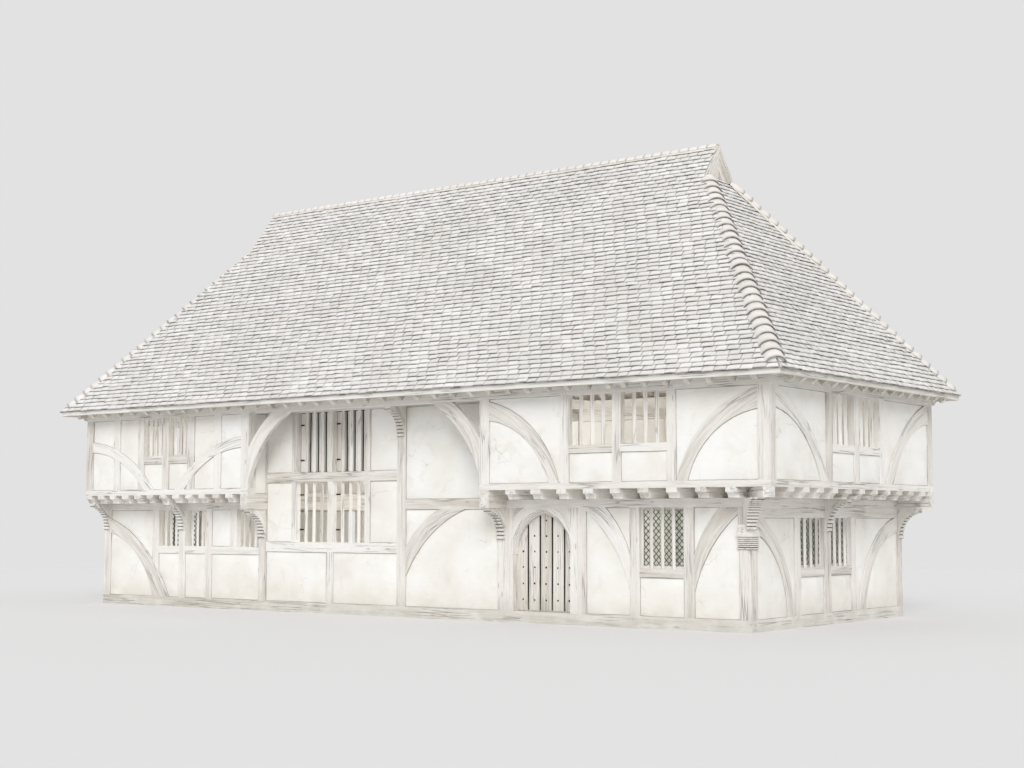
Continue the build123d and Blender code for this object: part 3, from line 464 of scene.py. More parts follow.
def mesh_of(name, points, faces, on_faces={}, **stored):
    """A mesh from points and faces, with numbers or places stored by name on its points or its faces."""
    mesh = bpy.data.meshes.new(name)
    mesh.from_pydata([tuple(p) for p in points], [], faces)
    for label, values in stored.items():
        values = np.asarray(values, np.float32)
        kind, field = ("FLOAT_VECTOR", "vector") if values.ndim == 2 else ("FLOAT", "value")
        mesh.attributes.new(label, kind, "POINT").data.foreach_set(field, values.ravel())
    for label, values in on_faces.items():
        mesh.attributes.new(label, "FLOAT", "FACE").data.foreach_set("value", np.asarray(values, np.float32))
    return mesh


# %% [markdown]
# ## Taking the CAD solids apart
# A CAD timber is a perfect prism with knife-thin edges, and nothing gives a model away faster. To age
# each timber on its own, the solids of a node are first told apart: points that lie on each other are
# welded, flat triangles are joined to whole faces, and faces that hang together are gathered. The same
# call notes the box of every solid, which later tells where the windows are.

# %% Solids of a node
weld = 1e-5
flat_angle = math.radians(0.6)


def solids_of(node):
    """Each closed solid of a CAD node, as its corners and its faces."""
    bm = bmesh.new()
    bm.from_mesh(frame["nodes"][node].data)
    bmesh.ops.remove_doubles(bm, verts=bm.verts, dist=weld)
    bmesh.ops.dissolve_limit(bm, angle_limit=flat_angle, verts=bm.verts, edges=bm.edges)
    unseen = dict.fromkeys(bm.faces)
    solids = []
    while unseen:
        first = next(iter(unseen))
        del unseen[first]
        found = [first]
        for face in found:
            for edge in face.edges:
                for near in edge.link_faces:
                    if near in unseen:
                        del unseen[near]
                        found.append(near)
        number = {}
        for face in found:
            for corner in face.verts:
                number.setdefault(corner, len(number))
        corners = np.array([corner.co for corner in number])
        solids.append((corners, [[number[c] for c in face.verts] for face in found]))
    bm.free()
    return solids


solids = {node: solids_of(node) for node in sorted(frame["nodes"])}
boxes = {node: [(c.min(0), c.max(0)) for c, faces in found] for node, found in solids.items()}
print(sum(len(s) for s in solids.values()), "solids in", len(solids), "nodes")

# %% [markdown]
# ## Wear
# Real timbers are adzed and sawn by eye and then sag for five hundred years. Three things make a prism
# look like one. Its arrises are rounded a finger's breadth, it is cut across every half metre so that it
# can bend, and its points are moved a few millimetres by a slow noise. The noise depends only on the
# place, so a post and the panel beside it move together and the wall stays closed.

# %% Wear a solid
sway_slow = (0.006, 0.8)  # how far, and how many to the metre
sway_quick = (0.0014, 6.0)


def swayed(points):
    """The points moved by the unevenness of old work."""
    moved = []
    for point in points:
        p = Vector(point)
        slow = noise.noise_vector(p * sway_slow[1]) * sway_slow[0]
        quick = noise.noise_vector(p * sway_quick[1]) * sway_quick[0]
        moved.append(p + slow + quick)
    return np.array(moved)


least_broad = 0.004  # square metres: smaller faces get no margin
square_on, same_plane = 0.99, 0.999  # cosines: nearly along an axis, and nearly in one plane


def worn(corners, faces, grooves, arris, step, margin=0.0):
    """A solid with rounded arrises, cut across every step metres, as a bmesh.

    Its broad sides get a margin, and its faces are marked where they are rounded or in a groove.
    """
    bm = bmesh.new()
    rounded, groove = (bm.faces.layers.int.new(label) for label in ("rounded", "groove"))
    made = [bm.verts.new(c) for c in corners]
    for i, face in enumerate(faces):
        bm.faces.new([made[i] for i in face])[groove] = i in grooves
    if margin:
        bm.normal_update()
        thin = int(np.argmin(corners.max(0) - corners.min(0)))
        broad = [face for face in bm.faces if abs(face.normal[thin]) > square_on]
        broad = [face for face in broad if face.calc_area() > least_broad]
        bmesh.ops.inset_individual(bm, faces=broad, thickness=margin, use_even_offset=True)
    crisp = [e for e in bm.edges if len(e.link_faces) == 2 and e.calc_face_angle(0) > corner_angle]
    made = bmesh.ops.bevel(
        bm, geom=crisp, offset=arris, offset_type="OFFSET", segments=2, profile=0.5, affect="EDGES",
        clamp_overlap=True,
    )
    for face in made["faces"]:
        face[rounded] = 1
    low, high = corners.min(0), corners.max(0)
    for axis in range(3):
        count = round((high[axis] - low[axis]) / step)
        normal = [float(axis == i) for i in range(3)]
        for place in np.linspace(low[axis], high[axis], count + 1)[1:-1]:
            at = [place * n for n in normal]
            everything = bm.verts[:] + bm.edges[:] + bm.faces[:]
            bmesh.ops.bisect_plane(bm, geom=everything, dist=1e-6, plane_co=at, plane_no=normal)
    bm.verts.index_update()
    return bm


grain_length = 60  # metres of grain that each timber takes its own stretch from
heart_off = 0.12  # how far a timber's middle lies from the heart of its tree


def grain_of(points):
    """Where each point lies in its own timber: x along the grain, y and z across it."""
    middle = points.mean(0)
    turned = (points - middle) @ np.linalg.svd(points - middle, full_matrices=False)[2].T
    bend = np.polyfit(turned[:, 0], turned[:, 1], 2)
    turned[:, 1] -= np.polyval(bend, turned[:, 0])  # braces were cut from bent trees
    return turned + [dice.uniform(0, grain_length), dice.normal(0, heart_off), dice.normal(0, heart_off)]


def inner_points(bm):
    """For each point, whether it lies inside a flat face, away from all arrises."""
    bm.normal_update()
    inner = []
    for corner in bm.verts:
        normal = corner.link_faces[0].normal
        inner.append(all(face.normal.dot(normal) > same_plane for face in corner.link_faces))
    return np.array(inner)


swell_least, swell_waves = 0.6, 1.7  # share of the swell that all plaster has, and waves to the metre


def swollen(bm, points, inner, swell):
    """Points inside a flat face raised by about swell metres, as hand-floated plaster is."""
    for corner in bm.verts:
        if inner[corner.index]:
            roll = swell_least + noise.noise(Vector(corner.co) * swell_waves)
            points[corner.index] += np.array(corner.link_faces[0].normal) * swell * roll
    return points


def aged(name, some_solids, arris=0.010, step=0.55, swell=0.0, margin=0.0):
    """One mesh of many worn solids, with the grain, tone, rim, arrises and grooves of each stored on it."""
    points, faces, grain, tone, rim = [], [], [], [], []
    on_faces = {"arris": [], "groove": []}
    for corners, polygons, *grooves in some_solids:
        bm = worn(corners, polygons, grooves[0] if grooves else (), arris, step, margin)
        here = np.array([corner.co for corner in bm.verts])
        base = sum(len(p) for p in points)
        faces += [[base + corner.index for corner in face.verts] for face in bm.faces]
        for label, layer in (("arris", "rounded"), ("groove", "groove")):
            on_faces[label] += [face[bm.faces.layers.int[layer]] for face in bm.faces]
        grain.append(grain_of(here))
        tone.append(np.full(len(here), dice.uniform(-1, 1)))
        inner = inner_points(bm)
        rim.append(1.0 - inner)
        if swell:
            here = swollen(bm, here, inner, swell)
        points.append(swayed(here))
        bm.free()
    points, grain, tone, rim = (np.concatenate(some) for some in (points, grain, tone, rim))
    return mesh_of(name, points, faces, on_faces, grain=grain, tone=tone, rim=rim)


# %% [markdown]
# ## The timber frame
# Every node of oak now gets worn. Big timbers get a wider arris than boards, because hands, carts and
# weather take more off them. Each piece keeps the name of its node with "aged" before it, and the
# arched braces are part of this too: their curve comes from the CAD model.

# %% Timbers
timber_wear = {
    0.012: "long_sills end_sills lower_posts upper_posts hall_posts lower_studs upper_studs hall_studs",
    0.011: "long_lower_plates end_lower_plates long_wall_plates end_wall_plates hall_plates "
    "truss_beams tie_beams",
    0.010: "long_bressumers end_bressumers floor_beams dragon_beam door_jambs window_rails jetty_joists",
    0.008: "wall_braces arch_braces",
}
for arris, nodes in timber_wear.items():
    for node in nodes.split():
        piece(aged(node, solids[node], arris), "aged_" + node, frame_oak, stands_for=[node])
for node in ("front_rafters", "back_rafters", "end_rafters", "hip_rafters"):
    mesh = aged(node, solids[node], arris=0.008, step=1.1)
    piece(mesh, "aged_" + node, rafter_oak, stands_for=[node])
for node in ("long_fascias", "end_fascias", "hall_soffit"):
    mesh = aged(node, solids[node], arris=0.004, step=0.5)
    piece(mesh, "aged_" + node, eaves_oak, stands_for=[node])
aged_pieces = [o for o in bpy.data.objects if o.name.startswith("aged")]
print("worn timbers:", sum(len(o.data.polygons) for o in aged_pieces), "faces")

# %% [markdown]
# ## Plaster panels
# A panel is worn in the same way, with a small arris where the trowel drew the plaster off the oak. Its
# face also swells a little towards the middle, unevenly, because daub is thrown on wattle and shrinks as
# it dries. That is real shape and not bump, so a low sun or a close look still finds it.

# %% Panels
for node in ("lower_panels", "upper_panels", "hall_panels"):
    mesh = aged(node, solids[node], arris=0.006, step=0.3, swell=0.008, margin=0.016)
    piece(mesh, "aged_" + node, plaster, stands_for=[node])
print("panels:", sum(len(solids[n]) for n in ("lower_panels", "upper_panels", "hall_panels")))

# %% [markdown]
# ## The roof, laid out
# The roof has two long slopes with hipped ends, and a small gable, the gablet, over each hip. All four
# slopes have the same pitch, so one description serves for all: where the slope starts, which way runs
# along the eaves, which way runs uphill, and how far it reaches left and right at each height. The
# corners are read off the CAD slabs that carry the tiles.

# %% Slopes
slab_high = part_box("hip_slopes")[1]
ridge_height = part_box("front_slope")[1].z
half_length, half_span = slab_high.x, slab_high.y
edge_height = sorted({round(float(z), 4) for z in solids["front_slope"][0][0][:, 2]})[1]
pitch = math.atan2(ridge_height - edge_height, half_span)
gablets = {-1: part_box("front_slope")[0].x, 1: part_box("front_slope")[1].x}
slope_length = half_span / math.cos(pitch)
verge = 0.012  # how far the tiles reach over a gablet's face
no_verge = 1e9


class Slope:
    """A roof slope in its own measures: u along the eaves, v uphill, w out of the roof."""

    def __init__(self, facing, half_width, setback, top):
        self.uphill = np.array([-facing[0] * math.cos(pitch), -facing[1] * math.cos(pitch), math.sin(pitch)])
        self.out = np.array([facing[0] * math.sin(pitch), facing[1] * math.sin(pitch), math.cos(pitch)])
        self.along = np.cross(self.uphill, self.out)
        self.start = np.array([facing[0] * setback, facing[1] * setback, edge_height])
        self.half_width = half_width
        self.top = top
        self.verges = (no_verge, -no_verge)  # only the long slopes have them, above their hips

    def reach(self, v):
        """How far the slope goes to either side at v, up to its hips or verges."""
        hip = self.half_width - v * math.cos(pitch)
        low, high = self.verges
        return np.minimum(-hip, low), np.maximum(hip, high)

    def at(self, u, v, w):
        """Places in the house, for arrays of u, v and w."""
        u, v, w = (np.asarray(n, float)[..., None] for n in (u, v, w))
        return self.start + u * self.along + v * self.uphill + w * self.out


def hip_length(side):
    """Length of an end slope, from the eaves up to its gablet."""
    return (half_length - side * gablets[side]) / math.cos(pitch)


slopes = {
    "front": Slope((0, -1), half_length, half_span, slope_length),
    "back": Slope((0, 1), half_length, half_span, slope_length),
    "right": Slope((1, 0), half_span, half_length, hip_length(1)),
    "left": Slope((-1, 0), half_span, half_length, hip_length(-1)),
}
for slope in (slopes["front"], slopes["back"]):
    slope.verges = sorted((gablets[side] + side * verge) * slope.along[0] for side in (-1, 1))
print("pitch", round(math.degrees(pitch), 1), "degrees, slope", round(slope_length, 2), "m")

# %% [markdown]
# ## Laying the tiles
# Plain tiles lie in courses, each half a tile out of step with the last, and each shows only its lower
# end. Over eight thousand are needed, so they are not objects but rows of numbers: every tile gets
# its place, a little lift, twist, camber and tone of its own, and all corners are worked out at once.
# Where a course meets a hip, the tiles are cut to the line, as the tiler does it: the hidden width is
# squeezed out, so a cut tile stays a closed solid.

# %% Tiles
gauge = 0.13  # what a course shows
tile_width = 0.272
tile_length = 0.205
tile_thickness = 0.017
tail_lift = 0.030  # of a tile's underside over the slab
eaves_lap = 0.075  # how far the first course hangs over the slab's edge
least_tile, least_head = 0.04, 0.05  # nobody cuts a narrower or shorter sliver
cut_width = 0.004  # of what stays of a tile beyond a hip, under its neighbour
tile_gap = 0.008
starter_share = 0.8  # length of the short tiles under the first course
head_share = 0.35  # of a tile's lift and bow that its head shows
row_error, width_error, slip_error, lift_error, twist_error = 0.03, 0.012, 0.0065, 0.0035, 0.0035
least_camber, most_camber = 0.001, 0.007
across = np.linspace(0, 1, 4)


def courses(slope):
    """One row of numbers for each tile: its sides, tail, head, height, lift, twist, camber and tone."""
    rows = []
    count = math.ceil((slope.top + eaves_lap) / gauge)
    for course in range(-1, count):
        starter = course < 0  # the short course under the first one
        tail = -eaves_lap + max(course, 0) * gauge
        head = min(tail + tile_length * (starter_share if starter else 1), slope.top)
        left, right = slope.reach(tail)
        if head - tail < least_head or right - left < least_tile:
            continue
        shift = (course % 2) * tile_width / 2 + dice.uniform(-row_error, row_error)
        joints = np.arange(left - tile_width + shift, right + tile_width, tile_width)
        joints = joints + dice.normal(0, width_error, len(joints))
        for low, high in zip(joints[:-1], joints[1:]):
            slip = dice.normal(0, slip_error)
            lift = abs(dice.normal(0, lift_error)) - (tile_thickness if starter else 0)
            bend = (dice.normal(0, twist_error), dice.uniform(least_camber, most_camber))
            sides = (low + tile_gap / 2, high - tile_gap / 2)
            rows.append((*sides, tail + slip, head, lift, *bend, dice.random()))
    return np.array(rows)


def tile_points(slope, tiles):
    """Corners of all tiles: for each, tail and head, four across, under and upper side."""
    low, high, tail, head, lift, twist, camber, tone = tiles.T
    rows = []
    for v, is_tail in ((tail, 1.0), (head, 0.0)):
        left, right = slope.reach(v)
        side_a = np.clip(low, left, right)
        side_b = np.maximum(np.clip(high, left, right), side_a + cut_width)
        drop = (1 - is_tail) * tile_thickness * (head - tail) / gauge
        for share in across:
            u = side_a + (side_b - side_a) * share
            bow = camber * 4 * share * (1 - share) + twist * (share - 0.5) * 2
            w = tail_lift + (lift + bow) * (head_share + (1 - head_share) * is_tail) - drop
            rows += [slope.at(u, v, w), slope.at(u, v, w + tile_thickness)]
    return np.stack(rows, 1)


def tile_faces():
    """Faces of one tile over its sixteen corners."""
    def corner(row, k, layer):
        return row * 8 + k * 2 + layer

    faces = []
    for k in range(3):
        faces.append((corner(0, k, 1), corner(0, k + 1, 1), corner(1, k + 1, 1), corner(1, k, 1)))
        faces.append((corner(0, k, 0), corner(1, k, 0), corner(1, k + 1, 0), corner(0, k + 1, 0)))
        faces.append((corner(0, k, 0), corner(0, k + 1, 0), corner(0, k + 1, 1), corner(0, k, 1)))
        faces.append((corner(1, k, 0), corner(1, k, 1), corner(1, k + 1, 1), corner(1, k + 1, 0)))
    faces.append((corner(0, 0, 0), corner(0, 0, 1), corner(1, 0, 1), corner(1, 0, 0)))
    faces.append((corner(0, 3, 0), corner(1, 3, 0), corner(1, 3, 1), corner(0, 3, 1)))
    return np.array(faces)


def tiled(name, slope):
    """All the tiles of one slope as one mesh."""
    tiles = courses(slope)
    left, right = slope.reach(tiles[:, 2])
    shown = np.minimum(tiles[:, 1], right) - np.maximum(tiles[:, 0], left)
    tiles = tiles[shown > least_tile]
    points = tile_points(slope, tiles)
    each = points.shape[1]
    faces = tile_faces()[None] + (np.arange(len(tiles)) * each)[:, None, None]
    tail = np.tile(np.repeat([1.0, 0.0], each // 2), len(tiles))
    rim = np.tile(np.repeat([1.0, 0.0, 0.0, 1.0], 2), 2 * len(tiles))
    tone = np.repeat(tiles[:, -1], each)
    print(name, len(tiles), "tiles")
    points, faces = points.reshape(-1, 3), faces.reshape(-1, 4).tolist()
    return mesh_of(name, points, faces, tone=tone, soot=tone * 7.3 % 1, tail=tail, rim=rim)


for name, slope in slopes.items():
    piece(tiled("tiles_" + name, slope), "tiles_" + name, roof_clay)

# %% [markdown]
# ## Boarding under the tiles
# From the ground, what shows of the roof's underside is the boarding between the rafter feet. The CAD
# slabs are that boarding, so they stay, with sawn boards as their finish.

# %% Boarding
def boards_finish():
    """Sawn boards, streaked along the roof."""
    f = Finish("roof_boarding", 0.85)
    place = f.place()
    streaks = f.clouds(f.stretched(place, (1.2, 14, 14)), 1.0, 5, 0.5)
    colour = f.tones(streaks, (0.32, paint(210, 202, 191)), (0.66, paint(235, 231, 224)))
    return f.done(colour, f.relief(streaks, 0.004))


boarding = boards_finish()


def finish_node(node, finish):
    """Give a CAD node that stays in sight its finish."""
    mesh = frame["nodes"][node].data
    mesh.materials.clear()
    mesh.materials.append(finish)


for node in ("front_slope", "back_slope", "hip_slopes", "end_slopes"):
    finish_node(node, boarding)
finish_node("upper_floors", boarding)
finish_node("ground_floor", lime_floor)
finish_node("window_glass", glass)
for node in ("door_hinges", "hinge_pins"):
    finish_node(node, iron)
print("CAD nodes that stay in sight:", len([o for o in frame["nodes"].values() if not o.hide_render]))

# %% [markdown]
# ## Ridge and hips
# The ridge is closed with half-round tiles, and each hip with bonnets: curved tiles that saddle the
# corner, one lapping over the next all the way down, bedded in mortar. Both are the same thing, a curved
# plate that is a little wider at one end, so one function makes them. It bends a sheet round an arc and
# gives it a thickness; the places, and a small error for each, come from the line they follow.

# %% Curved tiles
def curved_tile(start, along, side, length, radius, half_angle, thickness, squeeze):
    """Points and faces of a curved plate. It starts at its wide end, and narrows to squeeze of that."""
    up = np.cross(along, side)
    angles = np.linspace(-half_angle, half_angle, 11)
    runs = np.linspace(0, 1, 4)
    points = []
    for run in runs:
        wide = radius * (1 + (squeeze - 1) * run)
        for layer in (0, 1):
            r = wide - thickness * (1 - layer)
            for angle in angles:
                bent = side * (r * math.sin(angle)) + up * (r * math.cos(angle) - radius)
                points.append(start + along * (length * run) + bent)
    n = len(angles)
    faces = []
    square = ((0, 0), (0, 1), (1, 1), (1, 0))

    def corner(run, layer, k):
        return (run * 2 + layer) * n + k

    for run in range(len(runs) - 1):
        for k in range(n - 1):
            faces.append([corner(run + i, 1, k + j) for i, j in square])
            faces.append([corner(run + j, 0, k + i) for i, j in square])
        for k in (0, n - 1):
            edge = (corner(run, 0, k), corner(run, 1, k), corner(run + 1, 1, k), corner(run + 1, 0, k))
            faces.append(edge if k == 0 else edge[::-1])
    for run in (0, len(runs) - 1):
        for k in range(n - 1):
            edge = (corner(run, 0, k), corner(run, 0, k + 1), corner(run, 1, k + 1), corner(run, 1, k))
            faces.append(edge if run == 0 else edge[::-1])
    tail = [1 - run for run in runs for i in range(2 * n)]
    return points, faces, tail


curved_thickness = 0.018
sideways_error, width_share_error = 0.012, 0.02
# how dark the lower ends of ridge tiles and bonnets are painted: partly dirt, partly painted shade
ridge_soot = 0.35


def line_of_tiles(name, start, end, side, spacing, sizes, jitter=0.006):
    """Curved tiles laid one over the next from start towards end.

    Sizes are the length, radius, half angle, squeeze and tip of a tile.
    """
    length, radius, half_angle, squeeze, tip = sizes
    run = end - start
    along = run / np.linalg.norm(run)
    up = np.cross(along, side)
    count = round(np.linalg.norm(run) / spacing)
    points, faces, tails, tones = [], [], [], []
    for i in range(count):
        here = start + run * (i / count) + up * dice.normal(0, jitter) + along * dice.normal(0, jitter)
        lean = along - up * tip + side * dice.normal(0, sideways_error)
        lean /= np.linalg.norm(lean)
        square = side - lean * side.dot(lean)
        square /= np.linalg.norm(square)
        wide = radius * dice.normal(1, width_share_error)
        shape = (length, wide, half_angle, curved_thickness, squeeze)
        ours, quads, tail = curved_tile(here, lean, square, *shape)
        faces += [[len(points) + c for c in face] for face in quads]
        points += ours
        tails += tail
        tones += [dice.random()] * len(ours)
    print(name, count, "tiles")
    return mesh_of(name, points, faces, tone=tones, soot=np.full(len(tones), ridge_soot), tail=tails)


print("curved tiles are", round(curved_thickness * 1000), "mm thick")


# %% [markdown]
# ## Bonnets down the hips
# The line of a hip runs from the corner of the eaves up to the foot of the gablet. The bonnets start at
# the eaves, so that each covers the head of the one below, and they stand clear of the tiles by a hand.

# %% Hips
bonnet_gap = 2 * gauge
bonnet_height = 0.082  # of a bonnet's crest over the line of the hip
bonnet_foot = 0.17  # how far up the hip the lowest one starts
lean_foot, lean_top = 0.005, 0.095  # how far the line of bonnets strays from the hip, towards the end slope
bonnet_sizes = (0.36, 0.248, math.radians(66), 0.87, 0.085)


def hip_line(side, end):
    """Foot and top of a hip, at the surface of the slabs."""
    foot = np.array([side * half_length, end * half_span, edge_height])
    run = half_length - side * gablets[side]
    top = np.array([gablets[side], end * (half_span - run), edge_height + run * math.tan(pitch)])
    return foot, top


def hip_frame(side, end):
    """A hip's start, end, sideways direction and outward direction, at the crest of the bonnets."""
    foot, top = hip_line(side, end)
    along = (top - foot) / np.linalg.norm(top - foot)
    sideways = np.cross([0, 0, 1.0], along)
    sideways /= np.linalg.norm(sideways)
    out = np.cross(along, sideways)
    sideways = -sideways if out[2] < 0 else sideways
    toward_end = sideways * np.sign(sideways[0] * side)
    foot = foot + along * bonnet_foot + toward_end * lean_foot
    return foot, top + toward_end * lean_top, along, sideways


def hips():
    """Each hip in turn: the end of its name, foot, top, direction, sideways direction and way out."""
    for side in (-1, 1):
        for end in (-1, 1):
            label = {-1: "_left", 1: "_right"}[side] + {-1: "_front", 1: "_back"}[end]
            foot, top, along, sideways = hip_frame(side, end)
            yield label, foot, top, along, sideways, np.cross(along, sideways)


for label, foot, top, along, sideways, out in hips():
    crest = out * bonnet_height
    name = "bonnets" + label
    mesh = line_of_tiles(name, foot + crest, top + crest, sideways, bonnet_gap, bonnet_sizes)
    piece(mesh, name, ridge_clay)

# %% [markdown]
# ## Ridge tiles and their mortar
# Ridge tiles are laid end to end along the top, from gablet to gablet, with a bed of lime mortar showing
# under their edges. The bed is one long half-round, a little smaller than the tiles; the same shape under
# each hip closes the open end of its lowest bonnet with the plain face seen at the corner of the eaves.

# %% Ridge
ridge_gap = 0.235
ridge_rise = 0.062  # of the crest over the ridge of the slabs
ridge_sizes = (0.232, 0.135, math.radians(72), 0.965, 0.0)
ridge_start = np.array([gablets[-1] - verge, 0, ridge_height + ridge_rise])
ridge_end = np.array([gablets[1] + verge, 0, ridge_height + ridge_rise])
ridge_side = np.array([0, 1.0, 0])
ridge_jitter = 0.003
ridge_line = (ridge_start, ridge_end, ridge_side, ridge_gap, ridge_sizes, ridge_jitter)
mesh = line_of_tiles("ridge_tiles", *ridge_line)
piece(mesh, "ridge_tiles", ridge_clay)


def stack_faces(rings, n):
    """Faces of a closed solid made of rings of n points, one ring after the other."""
    faces = [
        (r * n + k, r * n + (k + 1) % n, (r + 1) * n + (k + 1) % n, (r + 1) * n + k)
        for r in range(rings - 1)
        for k in range(n)
    ]
    return faces + [tuple(range(n))[::-1], tuple((rings - 1) * n + k for k in range(n))]


bed_cut = 0.25  # the bed is cut across this often, so that it can bend


def bed(name, start, end, side, radius, half_angle, depth):
    """A solid bed of mortar under a line of curved tiles, with a flat foot depth below its crest."""
    along = (end - start) / np.linalg.norm(end - start)
    up = np.cross(along, side)
    count = max(2, round(np.linalg.norm(end - start) / bed_cut))
    angles = np.linspace(-half_angle, half_angle, 13)
    section = [(radius * math.sin(a), radius * (math.cos(a) - 1)) for a in angles]
    section = [(section[0][0], -depth)] + section + [(section[-1][0], -depth)]
    stations = [start + (end - start) * i / count for i in range(count + 1)]
    points = [station + side * a + up * b for station in stations for a, b in section]
    return mesh_of(name, swayed(points), stack_faces(count + 1, len(section)))


inset = np.array([0.02, 0, 0])
under = np.array([0, 0, 0.022])
ridge_bed, hip_bed = (0.125, 1.25, 0.13), (0.22, 1.15, 0.17)  # radius, half angle and depth
hip_bed_start, hip_bed_under = 0.025, 0.035  # uphill of the lowest bonnet, and below its crest
mesh = bed("ridge_mortar", ridge_start + inset - under, ridge_end - inset - under, ridge_side, *ridge_bed)
piece(mesh, "ridge_mortar", mortar)
for label, foot, top, along, sideways, out in hips():
    name = "hip_mortar" + label
    crest = out * (bonnet_height - hip_bed_under)
    mesh = bed(name, foot + along * hip_bed_start + crest, top + crest, sideways, *hip_bed)
    piece(mesh, name, mortar)
print("ridge runs", round(float(ridge_end[0] - ridge_start[0]), 2), "m")

# %% [markdown]
# ## Brackets carved in rolls
# The brackets under the jetties are the carver's show pieces: their hollow underside is cut into a stack
# of rolls, like reeds laid across it. The CAD bracket has the right outline with a plain hollow. The
# carved one keeps its box and replaces the arc by a row of half-rounds along the same arc, which is then
# given the bracket's width. Its outline is drawn once and turned to face each way that a bracket faces.

# %% Carved brackets
roll_depth = 0.034
roll_pitch = 0.074
points_per_roll = 7
bracket_foot = 0.07  # thickness at the foot
wall_hollow = (0.09, 0.15)  # thickness at the tip, and depth of the hollow off a straight line
corner_hollow = (0.06, 0.103)
valley = 0.7  # a strip of a roll that goes deeper than this share of its height is darkened as painted shade
outline_sides = 2  # faces of a solid that come before the ones round its outline


def hollow_arc(low, high, bow, count):
    """Points along the arc from low to high that bows to the left of that way."""
    low, high = np.array(low), np.array(high)
    chord = high - low
    left = np.array([-chord[1], chord[0]]) / np.linalg.norm(chord)
    half = np.linalg.norm(chord) / 2
    radius = (half ** 2 + bow ** 2) / (2 * bow)
    centre = (low + high) / 2 + left * (bow - radius)
    spread = math.asin(half / radius)
    middle = math.atan2(left[1], left[0])
    angles = np.linspace(middle + spread, middle - spread, count)
    ring = np.stack([np.cos(angles), np.sin(angles)], 1)
    return centre + ring * radius, ring


def bracket_outline(height, reach, hollow, back=0.0):
    """Outline of a carved bracket in its own plane, as (how far out, how high), and its grooved faces."""
    tip, bow = hollow
    foot, lip = (bracket_foot, -height), (reach, -tip)
    rolls = max(6, round(math.dist(foot, lip) / roll_pitch))
    arc, ring = hollow_arc(foot, lip, bow, rolls * points_per_roll + 1)
    swell = np.abs(np.sin(np.linspace(0, math.pi * rolls, len(arc)))) ** 0.5
    carved = arc + ring * (roll_depth * (1 - swell))[:, None]
    low_strips = [k for k in range(len(arc) - 1) if (swell[k] + swell[k + 1]) / 2 < valley]
    deep = {outline_sides + 1 + k for k in low_strips}
    return [(-back, -height), *[tuple(p) for p in carved], (reach, 0.0), (-back, 0.0)], deep


def solid_between(near, far):
    """A solid between two outlines with the same number of points."""
    n = len(near)
    faces = [tuple(range(n)), tuple(range(2 * n - 1, n - 1, -1))]
    faces += [(k, n + k, n + (k + 1) % n, (k + 1) % n) for k in range(n)]
    return np.array([*near, *far]), faces


def prism(outline, start, out, side, width):
    """A solid from an outline of (out, up), with its width to both sides of its plane."""
    up = np.array([0, 0, 1.0])
    near = [start + out * a + up * b - side * width / 2 for a, b in outline]
    return solid_between(near, [p + side * width for p in near])


def carved_bracket(box):
    """A bracket in the box of a CAD one; it stands out from the wall along the box's longer side."""
    low, high = box
    size = high - low
    toward = 0 if size[0] > size[1] else 1
    sign = 1 if toward == 0 else -1
    wall = low[toward] if sign > 0 else high[toward]
    start = (low + high) / 2
    start[toward], start[2] = wall, high[2]
    out, side = np.zeros(3), np.zeros(3)
    out[toward], side[1 - toward] = sign, 1.0
    outline, deep = bracket_outline(size[2], size[toward], wall_hollow)
    return *prism(outline, start, out, side, size[1 - toward]), deep


carved = [carved_bracket(box) for box in boxes["jetty_brackets"]]
mesh = aged("carved_brackets", carved, arris=0.004, step=2.0)
piece(mesh, "carved_brackets", frame_oak, stands_for=["jetty_brackets"])
print(len(carved), "carved brackets,", len(mesh.polygons), "faces")

# %% [markdown]
# ## The bracket on the corner
# The bracket on the corner post stands out midway between the two walls, under the beam that carries
# both jetties. It is cut like the others, but splays upwards, so that it leaves the narrow post and ends as
# wide as the beam above.

# %% Corner bracket
dragon_reach, dragon_back = 0.62, 0.1  # out from the post, and back into it
dragon_turn = math.radians(-48)  # from the long front towards the end wall
dragon_foot, dragon_top = 0.17, 0.28  # its width at the foot and at the top
dragon_low, dragon_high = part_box("dragon_bracket")
height = float(dragon_high.z - dragon_low.z)
corner = np.array([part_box("lower_posts")[1].x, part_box("lower_posts")[0].y, dragon_high.z])
out = np.array([math.cos(dragon_turn), math.sin(dragon_turn), 0])
side = np.array([-out[1], out[0], 0])
outline, deep = bracket_outline(height, dragon_reach, corner_hollow, dragon_back)
corners, faces = prism(outline, corner, out, side, 1.0)
share = (corners[:, 2] - float(dragon_low.z)) / height
width = dragon_foot + (dragon_top - dragon_foot) * share
off = (corners - corner) @ side
corners += (off * (width - 1))[:, None] * side
mesh = aged("carved_dragon_bracket", [(corners, faces, deep)], arris=0.004, step=2.0)
piece(mesh, "carved_dragon_bracket", frame_oak, stands_for=["dragon_bracket"])
print("corner bracket:", round(height, 2), "m high,", round(dragon_reach, 2), "m out")

# %% [markdown]
# ## The corner post and its capital
# The corner post carries the jetty on both sides, so it is dressed as a column: a thin ring, a stack of
# rolls, a thick cap, and above it a slope that dies into the head. Every moulding turns the corners of
# the square with a mitre. So one upright profile is enough: each of its points says how far it stands
# out from the shaft and how high it is, and the profile is carried round the four corners at once.

# %% Corner post
def square_turned(middle, half, profile):
    """A profile of (how far out, how high) carried round a square shaft."""
    square = [(-1, -1), (1, -1), (1, 1), (-1, 1)]
    corners = [(*(middle + np.array(c) * (half + out)), z) for out, z in profile for c in square]
    return np.array(corners), stack_faces(len(profile), len(square))


